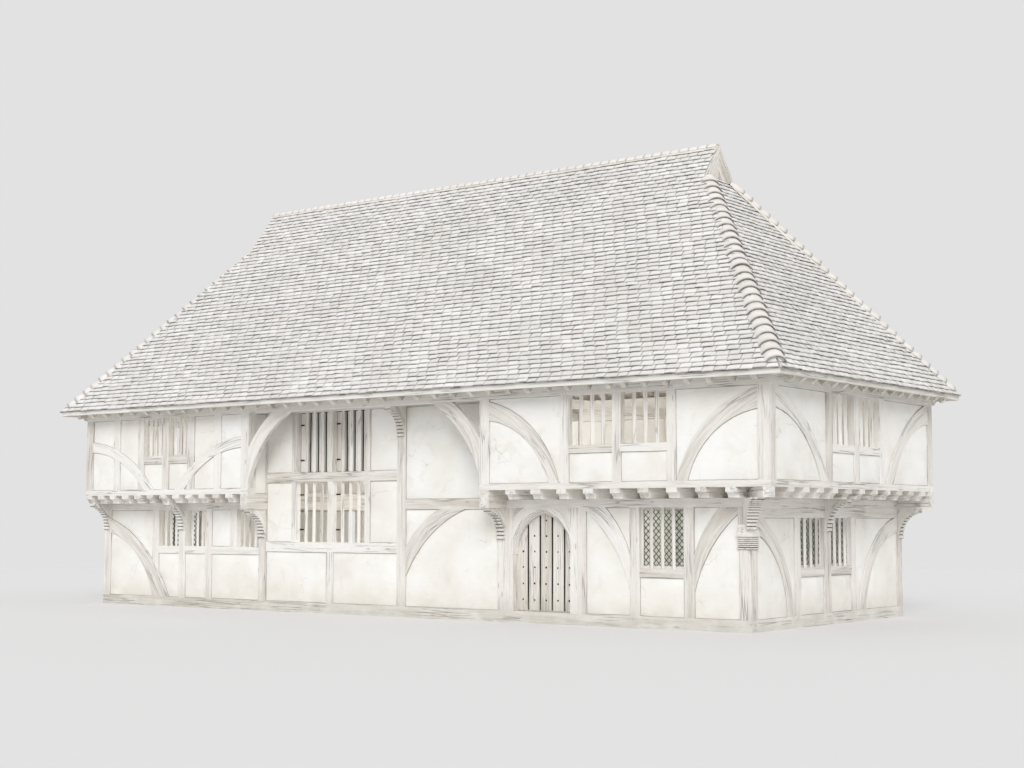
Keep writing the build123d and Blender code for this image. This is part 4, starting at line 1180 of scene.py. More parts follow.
post_low, post_high = (np.array(c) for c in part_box("dragon_post"))
shaft_low, shaft_high = boxes["lower_posts"][0]
shaft = float(shaft_high[0] - shaft_low[0]) / 2
middle = ((post_low + post_high) / 2)[:2]
roll_count, roll_stand, roll_root = 5, 0.024, 0.010
roll_half = 0.47  # half a roll's height, as a share of its room
rolls_low, rolls_high = 1.620, 1.812
cap_top, head_from, head_out = 1.892, 2.05, 0.014
profile = [(-0.02, 1.574), (0.012, 1.576), (0.028, 1.584), (0.030, 1.594), (0.028, 1.606), (0.012, 1.616)]
each = (rolls_high - rolls_low) / roll_count
for i in range(roll_count):
    centre = rolls_low + (i + 0.5) * each
    turns = np.linspace(0, math.pi, 9)
    bulge, half = roll_stand, roll_half * each
    profile += [(roll_root + bulge * math.sin(a), centre - half * math.cos(a)) for a in turns]
profile += [(0.036, rolls_high + 0.004), (0.046, rolls_high + 0.012)]
profile += [(0.046, cap_top - 0.012), (0.038, cap_top)]
profile += [(head_out, head_from), (-0.02, head_from + 0.004)]
groove_out = 0.0265  # below the cap, a moulding that stands out less than this is in a groove, darkened as painted shade
outs = [(a + c) / 2 if b < rolls_high else 1 for (a, b), (c, d) in zip(profile, profile[1:])]
deep = {4 * r + k for r, out in enumerate(outs) if out < groove_out for k in range(4)}
capital = *square_turned(middle, shaft, profile), deep
mesh = aged("corner_capital", [capital], arris=0.0015, step=2.0)
piece(mesh, "corner_capital", frame_oak)
lower = square_turned(middle, shaft, [(0, post_low[2]), (0, head_from - 0.05)])
head = square_turned(middle, shaft, [(head_out, head_from - 0.05), (head_out, post_high[2])])
mesh = aged("dragon_post", [lower, head], arris=0.012)
piece(mesh, "aged_dragon_post", frame_oak, stands_for=["dragon_post"])
print(roll_count, "rolls of", round(each * 1000), "mm on a shaft of", round(2 * shaft * 1000), "mm")

# %% [markdown]
# ## Finding the windows
# A window is where the wall is not: the stretch between two studs with no panel in it. So the windows
# need no list of places. At a chosen height, the boxes of all posts, studs and panels are lined up along
# a wall, and what is left over is a window; the same search upwards and downwards finds its head and
# sill. If a stud moves in the CAD model, the bars and leads move with it.

# %% Window search
wall_nodes = [n for n in boxes if n.split("_")[-1] in ("posts", "studs", "panels", "jambs", "head", "post")]
rail_nodes = [n for n in boxes if n.split("_")[-1] in ("rails", "plates", "beams", "panels")]


def stretches(nodes, inside, axis, low, high):
    """Free stretches from low to high along an axis, through a point inside the wall."""
    others = [i for i in range(3) if i != axis]
    filled = []
    for node in nodes:
        for box_low, box_high in boxes[node]:
            if all(box_low[i] < inside[i] < box_high[i] for i in others):
                filled.append((box_low[axis], box_high[axis]))
    free, reached = [], low
    for start, end in sorted(filled):
        if start > reached + 0.1:
            free.append((float(reached), float(min(start, high))))
        reached = max(reached, end)
    return [(a, b) for a, b in free if b > low and a < high]


post_west, post_east = float(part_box("lower_posts")[0].x), float(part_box("lower_posts")[1].x)
jetty_west, jetty_east = float(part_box("upper_posts")[0].x), float(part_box("upper_posts")[1].x)
wall_front, wall_back = float(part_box("lower_posts")[0].y), float(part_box("lower_posts")[1].y)
jetty_front = float(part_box("upper_posts")[0].y)
hall_west, hall_east = float(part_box("hall_plates")[0].x), float(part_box("hall_plates")[1].x)
low_row, hall_low_row, hall_high_row, upper_row = 1.9, 2.3, 3.9, 4.2  # heights through the window rows
into_wall = 0.08

rows = []  # name, axis along, face, way out, height, from, to
for side, face, out in (("front", wall_front, -1), ("back", wall_back, 1)):
    rows.append((side + "_low_left", 0, face, out, low_row, post_west, hall_west))
    rows.append((side + "_low_right", 0, face, out, low_row, hall_east, post_east))
    rows.append((side + "_hall_low", 0, face, out, hall_low_row, hall_west, hall_east))
    rows.append((side + "_hall_high", 0, face, out, hall_high_row, hall_west, hall_east))
for side, face, out in (("front", jetty_front, -1), ("back", wall_back, 1)):
    rows.append((side + "_up_left", 0, face, out, upper_row, jetty_west, hall_west))
    rows.append((side + "_up_right", 0, face, out, upper_row, hall_east, jetty_east))
rows.append(("end_low_right", 1, post_east, 1, low_row, wall_front, wall_back))
rows.append(("end_low_left", 1, post_west, -1, low_row, wall_front, wall_back))
rows.append(("end_up_right", 1, jetty_east, 1, upper_row, jetty_front, wall_back))
rows.append(("end_up_left", 1, jetty_west, -1, upper_row, jetty_front, wall_back))


class Window:
    """An opening in a wall: its two sides, sill and head, and how to reach into the wall there."""

    def __init__(self, row, axis, face, out, sides, heights):
        self.row, self.axis, self.face, self.out = row, axis, face, out
        self.low, self.high = sides
        self.sill, self.head = heights
        self.width = self.high - self.low

    def at(self, along, height, depth):
        """A place: along the wall, its height, and its depth in from the face."""
        across_wall = self.face - self.out * depth
        place = [along, across_wall] if self.axis == 0 else [across_wall, along]
        return np.array([*place, height], float)

    def bar(self, a0, a1, z0, z1, d0, d1):
        """A straight piece between two sides, two heights and two depths."""
        a, z, d = (a0, a1), (z0, z1), (d0, d1)
        corners = np.array([self.at(a[i], z[j], d[k]) for i in (0, 1) for j in (0, 1) for k in (0, 1)])
        return corners, [(0, 1, 3, 2), (4, 6, 7, 5), (0, 4, 5, 1), (2, 3, 7, 6), (0, 2, 6, 4), (1, 5, 7, 3)]


windows = []
for row, axis, face, out, height, start, end in rows:
    inside = np.array([0.0, 0.0, height])
    inside[1 - axis] = face - out * into_wall
    for low, high in stretches(wall_nodes, inside, axis, start, end):
        inside[axis] = (low + high) / 2
        for sill, head in stretches(rail_nodes, inside, 2, 0.3, 4.9):
            if sill < height < head:
                windows.append(Window(row, axis, face, out, (low, high), (sill, head)))
for w in windows:
    print(f"{w.row:16s} {w.low:7.3f} to {w.high:7.3f}, sill {w.sill:.2f}, head {w.head:.2f}")

# %% [markdown]
# ## Mullions
# Medieval windows have no glass but upright bars, set cornerwise so that they throw the rain off and
# still let the light past. Three stand in each light at its quarter points. A square bar turned by 45
# degrees is four corners and two ends, and the same wear as on the big timbers softens it.

# %% Mullions
bars_per_light = 3
slim_bar, stout_bar = 0.058, 0.072
glazed_bar_depth, open_bar_depth = 0.05, 0.085  # of a bar's middle, in from the face of the wall
let_in = 0.012  # how far a bar goes into sill and head
glazed_rows = ("front_low_right", "back_low_right", "end_low_right", "end_low_left")


def mullion(window, along, side, depth):
    """A square bar set cornerwise, let a little into sill and head."""
    r = side / math.sqrt(2)
    plan = [(along - r, depth), (along, depth - r), (along + r, depth), (along, depth + r)]
    heights = (window.sill - let_in, window.head + let_in)
    foot, top = ([window.at(a, z, d) for a, d in plan] for z in heights)
    return solid_between(foot, top)


mullions = []
for w in windows:
    side = slim_bar if "low_" in w.row else stout_bar
    depth = glazed_bar_depth if w.row in glazed_rows else open_bar_depth
    for i in range(bars_per_light):
        along = w.low + w.width * (i + 1) / (bars_per_light + 1)
        mullions.append(mullion(w, along, side, depth))
piece(aged("mullions", mullions, arris=0.004, step=0.45), "mullions", frame_oak)
print(len(mullions), "mullions in", len(windows), "windows")

# %% [markdown]
# ## Leaded casements
# The parlour windows have a luxury: glass, in small diamond panes held by lead, in a casement behind the
# bars. The leads are two sets of slanting strips, spaced by the size of a pane and cut off at the
# casement. Cutting a slanting line to a rectangle is done by asking where it meets the two sides and the
# top and bottom, and keeping the middle two of those four.

# %% Casements and leads
pane_width, pane_height = 0.119, 0.127
casement_width = 0.05
lead_width, lead_depth = 0.015, 0.014
least_lead, touch = 0.02, 1e-6
lead_edge = 0.8  # share of a casement's width at which the leads end


def lead_strip(window, start, end, depth):
    """A strip of lead with a rounded face on both sides, from start to end as (along, height)."""
    run = np.array(end) - np.array(start)
    square = np.array([-run[1], run[0]]) / np.linalg.norm(run)
    half = [(0.5, 0.2), (0.25, 0.5), (-0.25, 0.5), (-0.5, 0.2)]
    section = half + [(-a, -b) for a, b in half]
    outlines = []
    for point in (start, end):
        spots = [(*(np.array(point) + square * a * lead_width), depth + b * lead_depth) for a, b in section]
        outlines.append([window.at(*spot) for spot in spots])
    return solid_between(*outlines)


def gathered(shapes):
    """Many separate shapes as one list of points and one of faces."""
    points, faces = [], []
    for corners, polygons in shapes:
        faces += [[len(points) + i for i in face] for face in polygons]
        points += list(corners)
    return points, faces


def small_work(name, shapes, finish, body="frame"):
    """Many small shapes as one piece, moved with the wall that they sit in."""
    points, faces = gathered(shapes)
    return piece(mesh_of(name, swayed(points), faces), name, finish, body)


def leads(window, depth):
    """The two sets of slanting leads that fill a casement."""
    margin = casement_width * lead_edge
    low, high = window.low + margin, window.high - margin
    sill, head = window.sill + margin, window.head - margin
    slope = pane_height / pane_width
    strips = []
    for way in (1, -1):
        reach = (head - sill) / slope + (high - low)
        for k in range(-math.ceil(reach / pane_width), math.ceil(reach / pane_width) + 1):
            anchor = (low + high) / 2 + (k + 0.5) * pane_width
            meets = [(low, sill + way * slope * (low - anchor)), (high, sill + way * slope * (high - anchor))]
            meets += [(anchor, sill), (anchor + way * (head - sill) / slope, head)]
            start, end = sorted(meets)[1:3]
            lower, upper = sorted((start[1], end[1]))
            across = low <= start[0] and end[0] <= high
            upright = sill - touch <= lower and upper <= head + touch
            if across and upright and math.dist(start, end) > least_lead:
                strips.append(lead_strip(window, start, end, depth))
    return strips


strips, casements = [], []
lead_middle, casement_front, casement_back = 0.099, 0.086, 0.125  # depths in from the face of the wall
for w in windows:
    if w.row not in glazed_rows:
        continue
    strips += leads(w, lead_middle)
    c, near, back = casement_width, casement_front, casement_back
    casements.append(w.bar(w.low, w.low + c, w.sill, w.head, near, back))
    casements.append(w.bar(w.high - c, w.high, w.sill, w.head, near, back))
    casements.append(w.bar(w.low + c, w.high - c, w.sill, w.sill + c, near, back))
    casements.append(w.bar(w.low + c, w.high - c, w.head - c, w.head, near, back))
piece(aged("casements", casements, arris=0.004, step=0.5), "casements", door_oak)
small_work("window_leads", strips, lead)
print(len(strips), "leads in", len(casements) // 4, "casements")

# %% [markdown]
# ## Nails
# Everything that a smith nailed shows a rose head: a low, slightly uneven dome. Rings of points that
# rise and shrink towards the middle make one. Each head is turned and sized a little differently.

# %% Nail heads
nail_rings = ((1.0, -0.3), (1.0, 0.12), (0.72, 0.45), (0.3, 0.62))  # width and height, as shares of a radius
nail_sides = 8
any_way = [0.31, 0.52, 0.79]  # a direction that lies along no wall


def nail_head(centre, out, radius=0.015):
    """A low dome whose rim lies in the surface that it is driven into."""
    out = out / np.linalg.norm(out)
    side = np.cross(out, any_way)
    side /= np.linalg.norm(side)
    other = np.cross(out, side)
    size = radius * dice.uniform(0.85, 1.15)
    turn = dice.uniform(0, 2)
    points = []
    for width, rise in nail_rings:
        for k in range(nail_sides):
            a = turn + 2 * math.pi * k / nail_sides
            points.append(centre + size * (width * (side * math.cos(a) + other * math.sin(a)) + out * rise))
    return np.array(points), stack_faces(len(nail_rings), nail_sides)


print("a nail head has", len(nail_rings) * nail_sides, "points")


# %% [markdown]
# ## Shutters in the hall
# The tall hall lights close with plank shutters behind the bars. The upper pair is shut. The lower pair
# is taken out by day, as such shutters often were, and only the ends of its iron hinges stay in the
# frame. A shutter is two layers, held together by nails: wide planks with open joints in front, and
# boards behind that close the joints, painted near-black as shade in the joints.

# %% Shutters
shutter_depth = 0.150  # just behind the bars
plank_thickness = 0.013  # of the planks in front
backing_thickness = 0.02
plank_gap = 0.05
shutter_play = 0.016  # room over and under a leaf
strap_inset, strap_length = 0.29, 0.13
strap_stand, strap_seat = 0.012, 0.001  # out from the face of the planks, and into it
shutter_planks = 4
behind_bar = 0.055  # how far the joints lie to the right of the bars in front of them


def shutter_leaf(window):
    """Front planks, boards behind them and nails of one shut shutter."""
    low, high = window.low + 0.004, window.high - 0.004
    sill, head = window.sill + shutter_play, window.head - shutter_play
    back = shutter_depth + plank_thickness
    planks, nails = [], []
    joints = np.linspace(window.low, window.high, shutter_planks + 1)[1:-1] + behind_bar + plank_gap / 2
    edges = [low, *(joints + dice.normal(0, 0.003, len(joints))), high + plank_gap]
    outward = window.at(0, 0, -1) - window.at(0, 0, 0)
    for a0, a1 in zip(edges[:-1], edges[1:]):
        d0 = shutter_depth + dice.uniform(0, 0.003)
        planks.append(window.bar(a0, a1 - plank_gap, sill, head, d0, back))
        for k in range(4):
            z = sill + (head - sill) * (k + 0.5) / 4 + dice.normal(0, 0.006)
            nails.append(nail_head(window.at((a0 + a1 - plank_gap) / 2, z, d0), outward, 0.011))
    boards = [window.bar(low - 0.02, high + 0.02, sill - 0.03, head + 0.03, back, back + backing_thickness)]
    return planks, boards, nails


def hinge_ends(window):
    """The two iron straps at the left of a window, as seen from outside, with a rounded end each."""
    left = 1 if window.out * (1 if window.axis == 0 else -1) < 0 else -1
    start = window.low - 0.01 if left > 0 else window.high + 0.01
    made = []
    for z in (window.sill + strap_inset, window.head - strap_inset):
        reach = strap_length * dice.uniform(0.9, 1.1)
        lower = [(0, -0.019), (reach - 0.02, -0.016), (reach, -0.006)]
        plan = lower + [(a, -b) for a, b in reversed(lower)]
        depths = (shutter_depth - strap_stand, shutter_depth + strap_seat)
        outlines = ([window.at(start + left * a, z + b, d) for a, b in plan] for d in depths)
        made.append(solid_between(*outlines))
    return made


planks, boards, nails, straps = [], [], [], []
for w in windows:
    if "hall_high" in w.row:
        for kept, made in zip((planks, boards, nails), shutter_leaf(w)):
            kept += made
    if "hall" in w.row:
        straps += hinge_ends(w)
piece(aged("hall_shutters", planks, arris=0.004, step=0.5), "hall_shutters", frame_oak)
piece(aged("shutter_backs", boards, arris=0.002, step=0.5), "shutter_backs", shaded_oak)
piece(aged("shutter_straps", straps, arris=0.0015, step=0.3), "shutter_straps", iron)
small_work("shutter_nails", nails, iron)
print(len(planks), "shutter planks,", len(straps), "straps,", len(nails), "nails")

# %% [markdown]
# ## The door
# The door is five wide planks, side by side, under a pointed head. Each plank is cut to the curve of the
# arch, so a plank is an outline with a straight foot, two straight sides and a curved top. Deep joints
# part them, and thinner boards behind, painted near-black as shade, close those joints. The planks
# follow the outline of the CAD leaf, whose curve is two arcs struck from the spring line.

# %% Door planks
leaf_low, leaf_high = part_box("door_leaf")
arch_low, arch_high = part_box("door_head")
spring = float(arch_low.z)
door_middle = float(leaf_low.x + leaf_high.x) / 2
door_half = float(leaf_high.x - leaf_low.x) / 2
plank_count = 5
joint_half = 0.023
front_layer = 0.012  # thickness of the planks; the boards behind them take the rest
most_proud = 0.002  # how far a plank may lie behind its neighbour
foot_play, board_foot_play, board_side_play, board_top_play = 0.002, 0.01, 0.02, 0.012


def arch_height(x, half, apex):
    """Height of a pointed arch over the place x, for an opening of that half width."""
    rise = apex - spring
    radius = (half ** 2 + rise ** 2) / (2 * half)
    off = abs(x - door_middle)
    return spring + math.sqrt(max(0.0, radius ** 2 - (off + radius - half) ** 2))


def arched_board(x0, x1, y0, y1, bottom, shrink=0.0):
    """A board of the door from x0 to x1, cut to the arch on top."""
    half, apex = door_half - shrink, float(leaf_high.z) - shrink
    stops = list(np.linspace(x0, x1, 7))
    if x0 < door_middle < x1 and door_middle not in stops:
        stops = sorted(stops + [door_middle])
    top = [(x, arch_height(x, half, apex)) for x in stops]
    outline = [(x1, bottom), (x0, bottom)] + top
    near, far = ([(x, y, z) for x, z in outline] for y in (y0, y1))
    return solid_between(near, far)


edges = np.linspace(leaf_low.x, leaf_high.x, plank_count + 1)
split_y = leaf_low.y + front_layer
door_planks = []
for i, (x0, x1) in enumerate(zip(edges[:-1], edges[1:])):
    left = x0 + (joint_half if i else 0)
    right = x1 - (joint_half if i < plank_count - 1 else 0)
    near = leaf_low.y + dice.uniform(0, most_proud)
    door_planks.append(arched_board(left, right, near, split_y, leaf_low.z + foot_play))
left, right = leaf_low.x + board_side_play, leaf_high.x - board_side_play
bottom = leaf_low.z + board_foot_play
backing = [arched_board(left, right, split_y, leaf_high.y, bottom, board_top_play)]
mesh = aged("door_planks", door_planks, arris=0.004, step=0.35)
piece(mesh, "door_planks", door_oak, "door", stands_for=["door_leaf"])
piece(aged("door_boards", backing, arris=0.004, step=0.35), "door_boards", shaded_oak, "door")
print("door:", plank_count, "planks over", round(2 * door_half, 2), "m")

# %% [markdown]
# ## Nails in the door
# Rows of rose-headed nails hold the planks to the ledges behind, one nail in the middle of each plank at
# every row. The top row has only the middle plank, since the arch has cut the others off. They ride on
# the door, so they swing with it.

# %% Door nails
nail_rows = (0.47, 0.81, 1.15, 1.48, 1.81, 2.13)
nail_spacing = 0.296  # a little less than a plank, so that the outer nails stay clear of the frame
nail_margin = 0.16  # least wood between a nail and the arch above it
nail_error, nail_stand, nail_radius = 0.004, 0.001, 0.02
outward = np.array([0, -1.0, 0])
heads = []
for z in nail_rows:
    for i in range(plank_count):
        x = door_middle + (i - (plank_count - 1) / 2) * nail_spacing
        if arch_height(x, door_half, float(leaf_high.z)) > z + nail_margin:
            x += dice.normal(0, nail_error)
            spot = np.array([x, leaf_low.y + nail_stand, z + dice.normal(0, nail_error)])
            heads.append(nail_head(spot, outward, nail_radius))
small_work("door_nails", heads, iron, "door")
print(len(heads), "nails in the door")

# %% [markdown]
# ## The moulded door head
# The head of the doorway is one thick board with the arch cut out and a moulding worked along its edge:
# two rolls between narrow grooves, which draw several thin lines round the arch. At the foot the moulding
# runs out to nothing in a stop, as the carpenter leaves it above a jamb. The head is built as strips: the
# moulding's section is carried along the arch, as wide as the board leaves room for, and flat faces
# close the rest.

# %% Door head
reveal = float(arch_high.y - arch_low.y)
head_half = float(arch_high.x - arch_low.x) / 2
lip = 0.015
open_half = head_half - lip
open_apex = float(arch_high.z) - 0.12
open_rise = open_apex - spring
arch_radius = (open_half ** 2 + open_rise ** 2) / (2 * open_half)
# Each point says how far it lies across the moulding and how deep in the reveal, both from 0 to 1.
moulding = [(0, 1.0), (0, 0.5), (0.1, 0.45), (0.15, 0.4)]  # the reveal and its chamfer
moulding += [(0.17, 0.48), (0.25, 0.48)]  # a groove
moulding += [(0.27, 0.33), (0.36, 0.29), (0.46, 0.28), (0.51, 0.3)]  # the inner roll
moulding += [(0.53, 0.39), (0.61, 0.39)]  # a groove
moulding += [(0.63, 0.19), (0.71, 0.12), (0.8, 0.09), (0.86, 0.1)]  # the outer roll
moulding += [(0.88, 0.17), (0.94, 0.17), (0.96, 0.03), (1.0, 0.0)]  # a groove, and the face
moulding_width = 0.085


def arch_curve(offset, count=33):
    """Points of the arch, moved outwards by an offset that may differ from point to point."""
    offset = np.broadcast_to(offset, (2 * count - 1,))
    full = math.atan2(open_rise, arch_radius - open_half)
    points = []
    for i in range(2 * count - 1):
        side = -1 if i < count else 1
        share = i / (count - 1) if i < count else (2 * (count - 1) - i) / (count - 1)
        centre = door_middle - side * (arch_radius - open_half)
        radius = arch_radius + offset[i]
        top = math.acos(min(1.0, (arch_radius - open_half) / radius))
        angle = min(share * full, top) if share < 1 else top
        points.append((centre + side * radius * math.cos(angle), spring + radius * math.sin(angle)))
    return points


count = 33
from_side = np.array([open_half - abs(x - door_middle) for x, z in arch_curve(0.0)])
room = np.minimum(moulding_width, lip * 0.8 + from_side * 0.9)
points = []
for across_by, deep in moulding:
    for x, z in arch_curve(room * across_by):
        points.append((x, arch_low.y + deep * reveal, z))
n = 2 * count - 1
faces = [
    (r * n + k, r * n + k + 1, (r + 1) * n + k + 1, (r + 1) * n + k)
    for r in range(len(moulding) - 1)
    for k in range(n - 1)
]
base = len(points)
x0, x1, z1 = float(arch_low.x), float(arch_high.x), float(arch_high.z)
box_plan = [(x0, spring), (x0, z1), (door_middle, z1), (x1, z1), (x1, spring)]
for y in (arch_low.y, arch_high.y):
    points += [(x, y, z) for x, z in box_plan]
last = (len(moulding) - 1) * n
apex = count - 1
for ring, first in ((last, base), (0, base + 5)):
    faces.append([first, first + 1, first + 2] + [ring + k for k in range(apex, -1, -1)])
    faces.append([first + 2, first + 3, first + 4] + [ring + k for k in range(n - 1, apex - 1, -1)])
faces += [(base + k, base + 5 + k, base + 6 + k, base + 1 + k) for k in range(4)]
for k, corner_at in ((0, 0), (n - 1, 4)):
    foot = [r * n + k for r in range(len(moulding))]
    faces.append([base + 5 + corner_at] + foot + [base + corner_at])
points = np.array(points)
tone = np.full(len(points), 0.4)
mesh = mesh_of("moulded_door_head", swayed(points), faces, grain=grain_of(points), tone=tone)
cleaner = bmesh.new()
cleaner.from_mesh(mesh)
bmesh.ops.recalc_face_normals(cleaner, faces=cleaner.faces)
cleaner.to_mesh(mesh)
cleaner.free()
piece(mesh, "moulded_door_head", frame_oak, stands_for=["door_head"])
print("arch from", round(spring, 2), "to", round(open_apex, 2), "m,", len(moulding) - 1, "strips of moulding")

# %% [markdown]
# ## Gablets
# Each gablet is closed by weatherboards and framed by bargeboards, built up in layers that follow the
# slope of the verge, so that from the side it reads as several lines running up to the ridge. Each layer
# is a pair of boards mitred under the ridge. Layers differ only in how far down from the verge they
# start, how wide they are and how far they stand out.

# %% Bargeboards
def verge_pair(side, down, width, inner, outer):
    """Two mitred boards under the verges of a gablet, from down below the roof line, width wide."""
    gablet = gablets[side]
    x0, x1 = sorted((gablet + side * inner, gablet + side * outer))
    run = half_length - side * gablet
    foot = edge_height + run * math.tan(pitch)
    top, low = ridge_height - down / math.cos(pitch), ridge_height - (down + width) / math.cos(pitch)
    rise = math.tan(pitch)
    shapes = []
    for way in (-1, 1):
        outline = [(0, low), (0, top), (way * (top - foot) / rise, foot), (way * (low - foot) / rise, foot)]
        near, far = ([(x, y, z) for y, z in outline] for x in (x0, x1))
        shapes.append(solid_between(near, far))
    return shapes


barge_layers = ((0.0, 0.17, 0.0, 0.034), (0.0, 0.075, 0.034, 0.056), (0.03, 0.03, 0.054, 0.064))
board_layers = tuple((0.17 + i * 0.085, 0.083, -0.004, 0.018 - i * 0.002) for i in range(6))
barges, weatherboards = [], []
for side in (-1, 1):
    height = ridge_height - edge_height - (half_length - side * gablets[side]) * math.tan(pitch)
    for down, width, inner, outer in barge_layers:
        barges += verge_pair(side, down, width, inner, outer)
    for down, width, inner, outer in board_layers:
        if (down + width) / math.cos(pitch) < height - 0.04:
            weatherboards += verge_pair(side, down, width, inner, outer)
mesh = aged("layered_bargeboards", barges, arris=0.005, step=0.5)
piece(mesh, "layered_bargeboards", eaves_oak, stands_for=["bargeboards"])
mesh = aged("gablet_boards", solids["gablet_walls"] + weatherboards, arris=0.004, step=0.5)
piece(mesh, "gablet_boards", board_oak, stands_for=["gablet_walls"])
print(len(barges), "bargeboards,", len(weatherboards), "weatherboards")

# %% [markdown]
# ## Pegs
# No nail holds an oak frame together. Every tenon is locked by oak pegs, driven through and left a
# little proud. They go where an upright meets the rail above and below it. To find the right depth
# without a list of places, each peg is dropped onto the finished timbers from outside: a ray is cast at
# the wall, and the peg stands where the ray lands, if that is on a timber near the face of the stud.

# %% Pegs
from mathutils.bvhtree import BVHTree

rail_names = "window_rails long_sills end_sills long_lower_plates end_lower_plates long_wall_plates"
upright_names = "lower_studs upper_studs hall_studs lower_posts upper_posts"
rail_points, rail_faces = [], []
for name in rail_names.split():
    mesh = bpy.data.objects["aged_" + name].data
    rail_faces += [[len(rail_points) + i for i in p.vertices] for p in mesh.polygons]
    rail_points += [v.co.copy() for v in mesh.vertices]
rails = BVHTree.FromPolygons(rail_points, rail_faces)
peg_radius, peg_stand, peg_depth, peg_sides = 0.013, 0.006, 0.012, 8
peg_from_joint = 0.06
peg_aside = 0.4  # of a pair of pegs, from the middle of the stud, as a share of half its width
wall_reach, cast_from, cast_length = 2.9, 0.5, 0.52


def peg(spot, out):
    """An eight-sided peg with a hand-cut end."""
    side = np.cross(out, [0, 0, 1.0])
    size, turn = peg_radius * dice.uniform(0.85, 1.15), dice.uniform(0, 1)
    rings = ((1.0, -peg_depth), (1.0, peg_stand * 0.6), (0.7, peg_stand * dice.uniform(0.9, 1.6)))
    points = []
    for width, rise in rings:
        for k in range(peg_sides):
            a = turn + 2 * math.pi * k / peg_sides
            across_by = side * math.cos(a) + np.array([0, 0, math.sin(a)])
            points.append(spot + out * rise + size * width * across_by)
    return np.array(points), stack_faces(len(rings), peg_sides)


pegs = []
uprights = [box for node in upright_names.split() for box in boxes[node]]
for low, high in uprights:
    size = high - low
    in_long_wall = low[1] < -wall_reach or high[1] > wall_back - 0.05
    faces_y = abs(low[1]) > wall_reach and size[1] < 0.4 and in_long_wall
    faces_x = low[0] > 8.5 or high[0] < post_west + 0.4
    for use, across_axis in ((faces_y, 1), (faces_x, 0)):
        if not use:
            continue
        sign = 1.0 if (low[across_axis] + high[across_axis]) > 0 else -1.0
        face = high[across_axis] if sign > 0 else low[across_axis]
        out = np.zeros(3)
        out[across_axis] = sign
        along_axis = 1 - across_axis
        middle, half = (low[along_axis] + high[along_axis]) / 2, size[along_axis] / 2
        for z in (high[2] + peg_from_joint, low[2] - peg_from_joint):
            for offset in (-peg_aside * half, peg_aside * half):
                cast = out * (sign * face + cast_from)
                cast[along_axis], cast[2] = middle + offset, z
                spot = rails.ray_cast(Vector(cast), Vector(-out), cast_length)[0]
                if spot is not None:
                    pegs.append(peg(np.array(spot), out))
points, faces = gathered(pegs)
points = np.array(points)
tone = np.repeat(dice.uniform(-1, 0, len(pegs)), len(points) // len(pegs))
mesh = mesh_of("pegs", points, faces, grain=points[:, [1, 0, 2]] * 3, tone=tone)
piece(mesh, "pegs", frame_oak)
print(len(pegs), "pegs")

# %% [markdown]
# ## Floor, sky and light
# The house stands on a plain pale floor under an even sky, with one wide soft lamp to show relief. The
# sky that the camera sees is a fixed pale grey, apart from the light it gives. The floor fades into it
# with distance, so no horizon shows, and it still takes the soft shadow of the house.
# A weak round lamp in every room keeps the windows from reading as black holes.

# %% Stage
backdrop = paint(226, 226, 226)
sky_strength = 0.72
lamp_strength = 1.55
lamp_width = math.radians(30)
lamp_tilt, lamp_turn = math.radians(56), math.radians(36)
bulb_size = 0.5
floor_corners = 64
fade_from, fade_to = 22, 48  # metres from the house

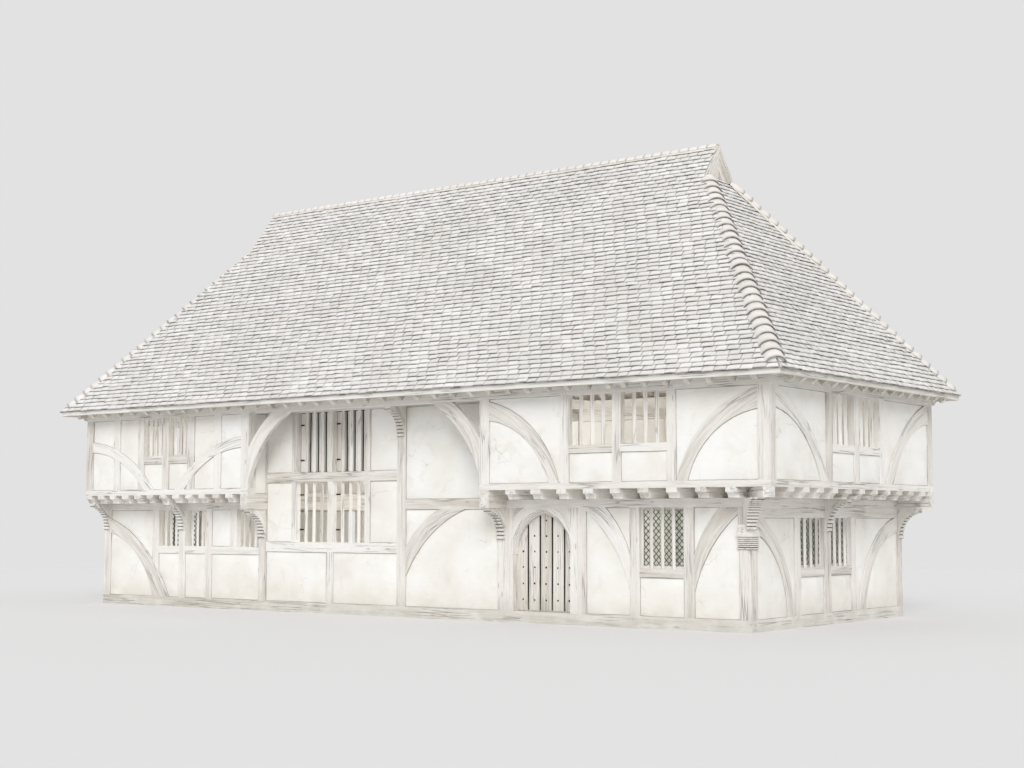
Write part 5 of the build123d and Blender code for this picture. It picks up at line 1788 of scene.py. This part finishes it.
world = bpy.data.worlds.new("sky")
world.use_nodes = True
bpy.context.scene.world = world
tree = world.node_tree
lit = tree.nodes["Background"]
lit.inputs["Color"].default_value = (1, 1, 1, 1)
lit.inputs["Strength"].default_value = sky_strength
seen = tree.nodes.new("ShaderNodeBackground")
seen.inputs["Color"].default_value = backdrop
ray = tree.nodes.new("ShaderNodeLightPath")
direct = ray.outputs["Is Camera Ray"]
for kind in ("Is Glossy Ray", "Is Transmission Ray"):
    either = tree.nodes.new("ShaderNodeMath")
    either.operation = "MAXIMUM"
    tree.links.new(direct, either.inputs[0])
    tree.links.new(ray.outputs[kind], either.inputs[1])
    direct = either.outputs[0]
choose = tree.nodes.new("ShaderNodeMixShader")
tree.links.new(direct, choose.inputs["Fac"])
tree.links.new(lit.outputs[0], choose.inputs[1])
tree.links.new(seen.outputs[0], choose.inputs[2])
tree.links.new(choose.outputs[0], tree.nodes["World Output"].inputs["Surface"])

lamp = bpy.data.lights.new("soft_lamp", "SUN")
lamp.energy = lamp_strength
lamp.angle = lamp_width
sun = bpy.data.objects.new("soft_lamp", lamp)
sun.rotation_euler = (lamp_tilt, 0, lamp_turn)
bpy.context.scene.collection.objects.link(sun)

fills = {
    "hall": ((hall_west + hall_east) / 2, 0.3, 3.4, 260),
    "parlour": ((hall_east + post_east) / 2, 0.3, 1.5, 90),
    "solar": ((hall_east + post_east) / 2, 0.3, 4.3, 120),
    "pantry": ((post_west + hall_west) / 2, 0.3, 1.5, 90),
    "chamber": ((post_west + hall_west) / 2, 0.3, 4.3, 120),
}
for room, (x, y, z, power) in fills.items():
    fill = bpy.data.lights.new("fill_" + room, "POINT")
    fill.energy = power
    fill.shadow_soft_size = bulb_size
    bulb = bpy.data.objects.new("fill_" + room, fill)
    bulb.location = (x, y, z)
    bulb.visible_camera = False
    bulb.visible_glossy = False
    bulb.visible_transmission = False
    bpy.context.scene.collection.objects.link(bulb)
print(len(fills), "rooms with a fill lamp")

floor_finish = Finish("pale_floor", 0.95)
far = floor_finish.nodes.new("ShaderNodeVectorMath")
far.operation = "LENGTH"
floor_finish.feed(far.inputs[0], floor_finish.place())
fade = floor_finish.between(far.outputs["Value"], fade_from, fade_to)
floor_finish.feed(floor_finish.shader.inputs["Alpha"], floor_finish.sum("SUBTRACT", 1.0, fade))
floor_finish.shader.inputs["Base Color"].default_value = paint(227, 227, 227)
turns = np.linspace(0, 2 * math.pi, floor_corners + 1)[:-1]
around = [(fade_to * math.cos(a), fade_to * math.sin(a), 0) for a in turns]
floor_mesh = bpy.data.meshes.new("pale_floor")
floor_mesh.from_pydata(around, [], [list(range(floor_corners))])
floor_mesh.materials.append(floor_finish.material)
floor = bpy.data.objects.new("pale_floor", floor_mesh)
bpy.context.scene.collection.objects.link(floor)
print("floor fades out between", fade_from, "and", fade_to, "m")
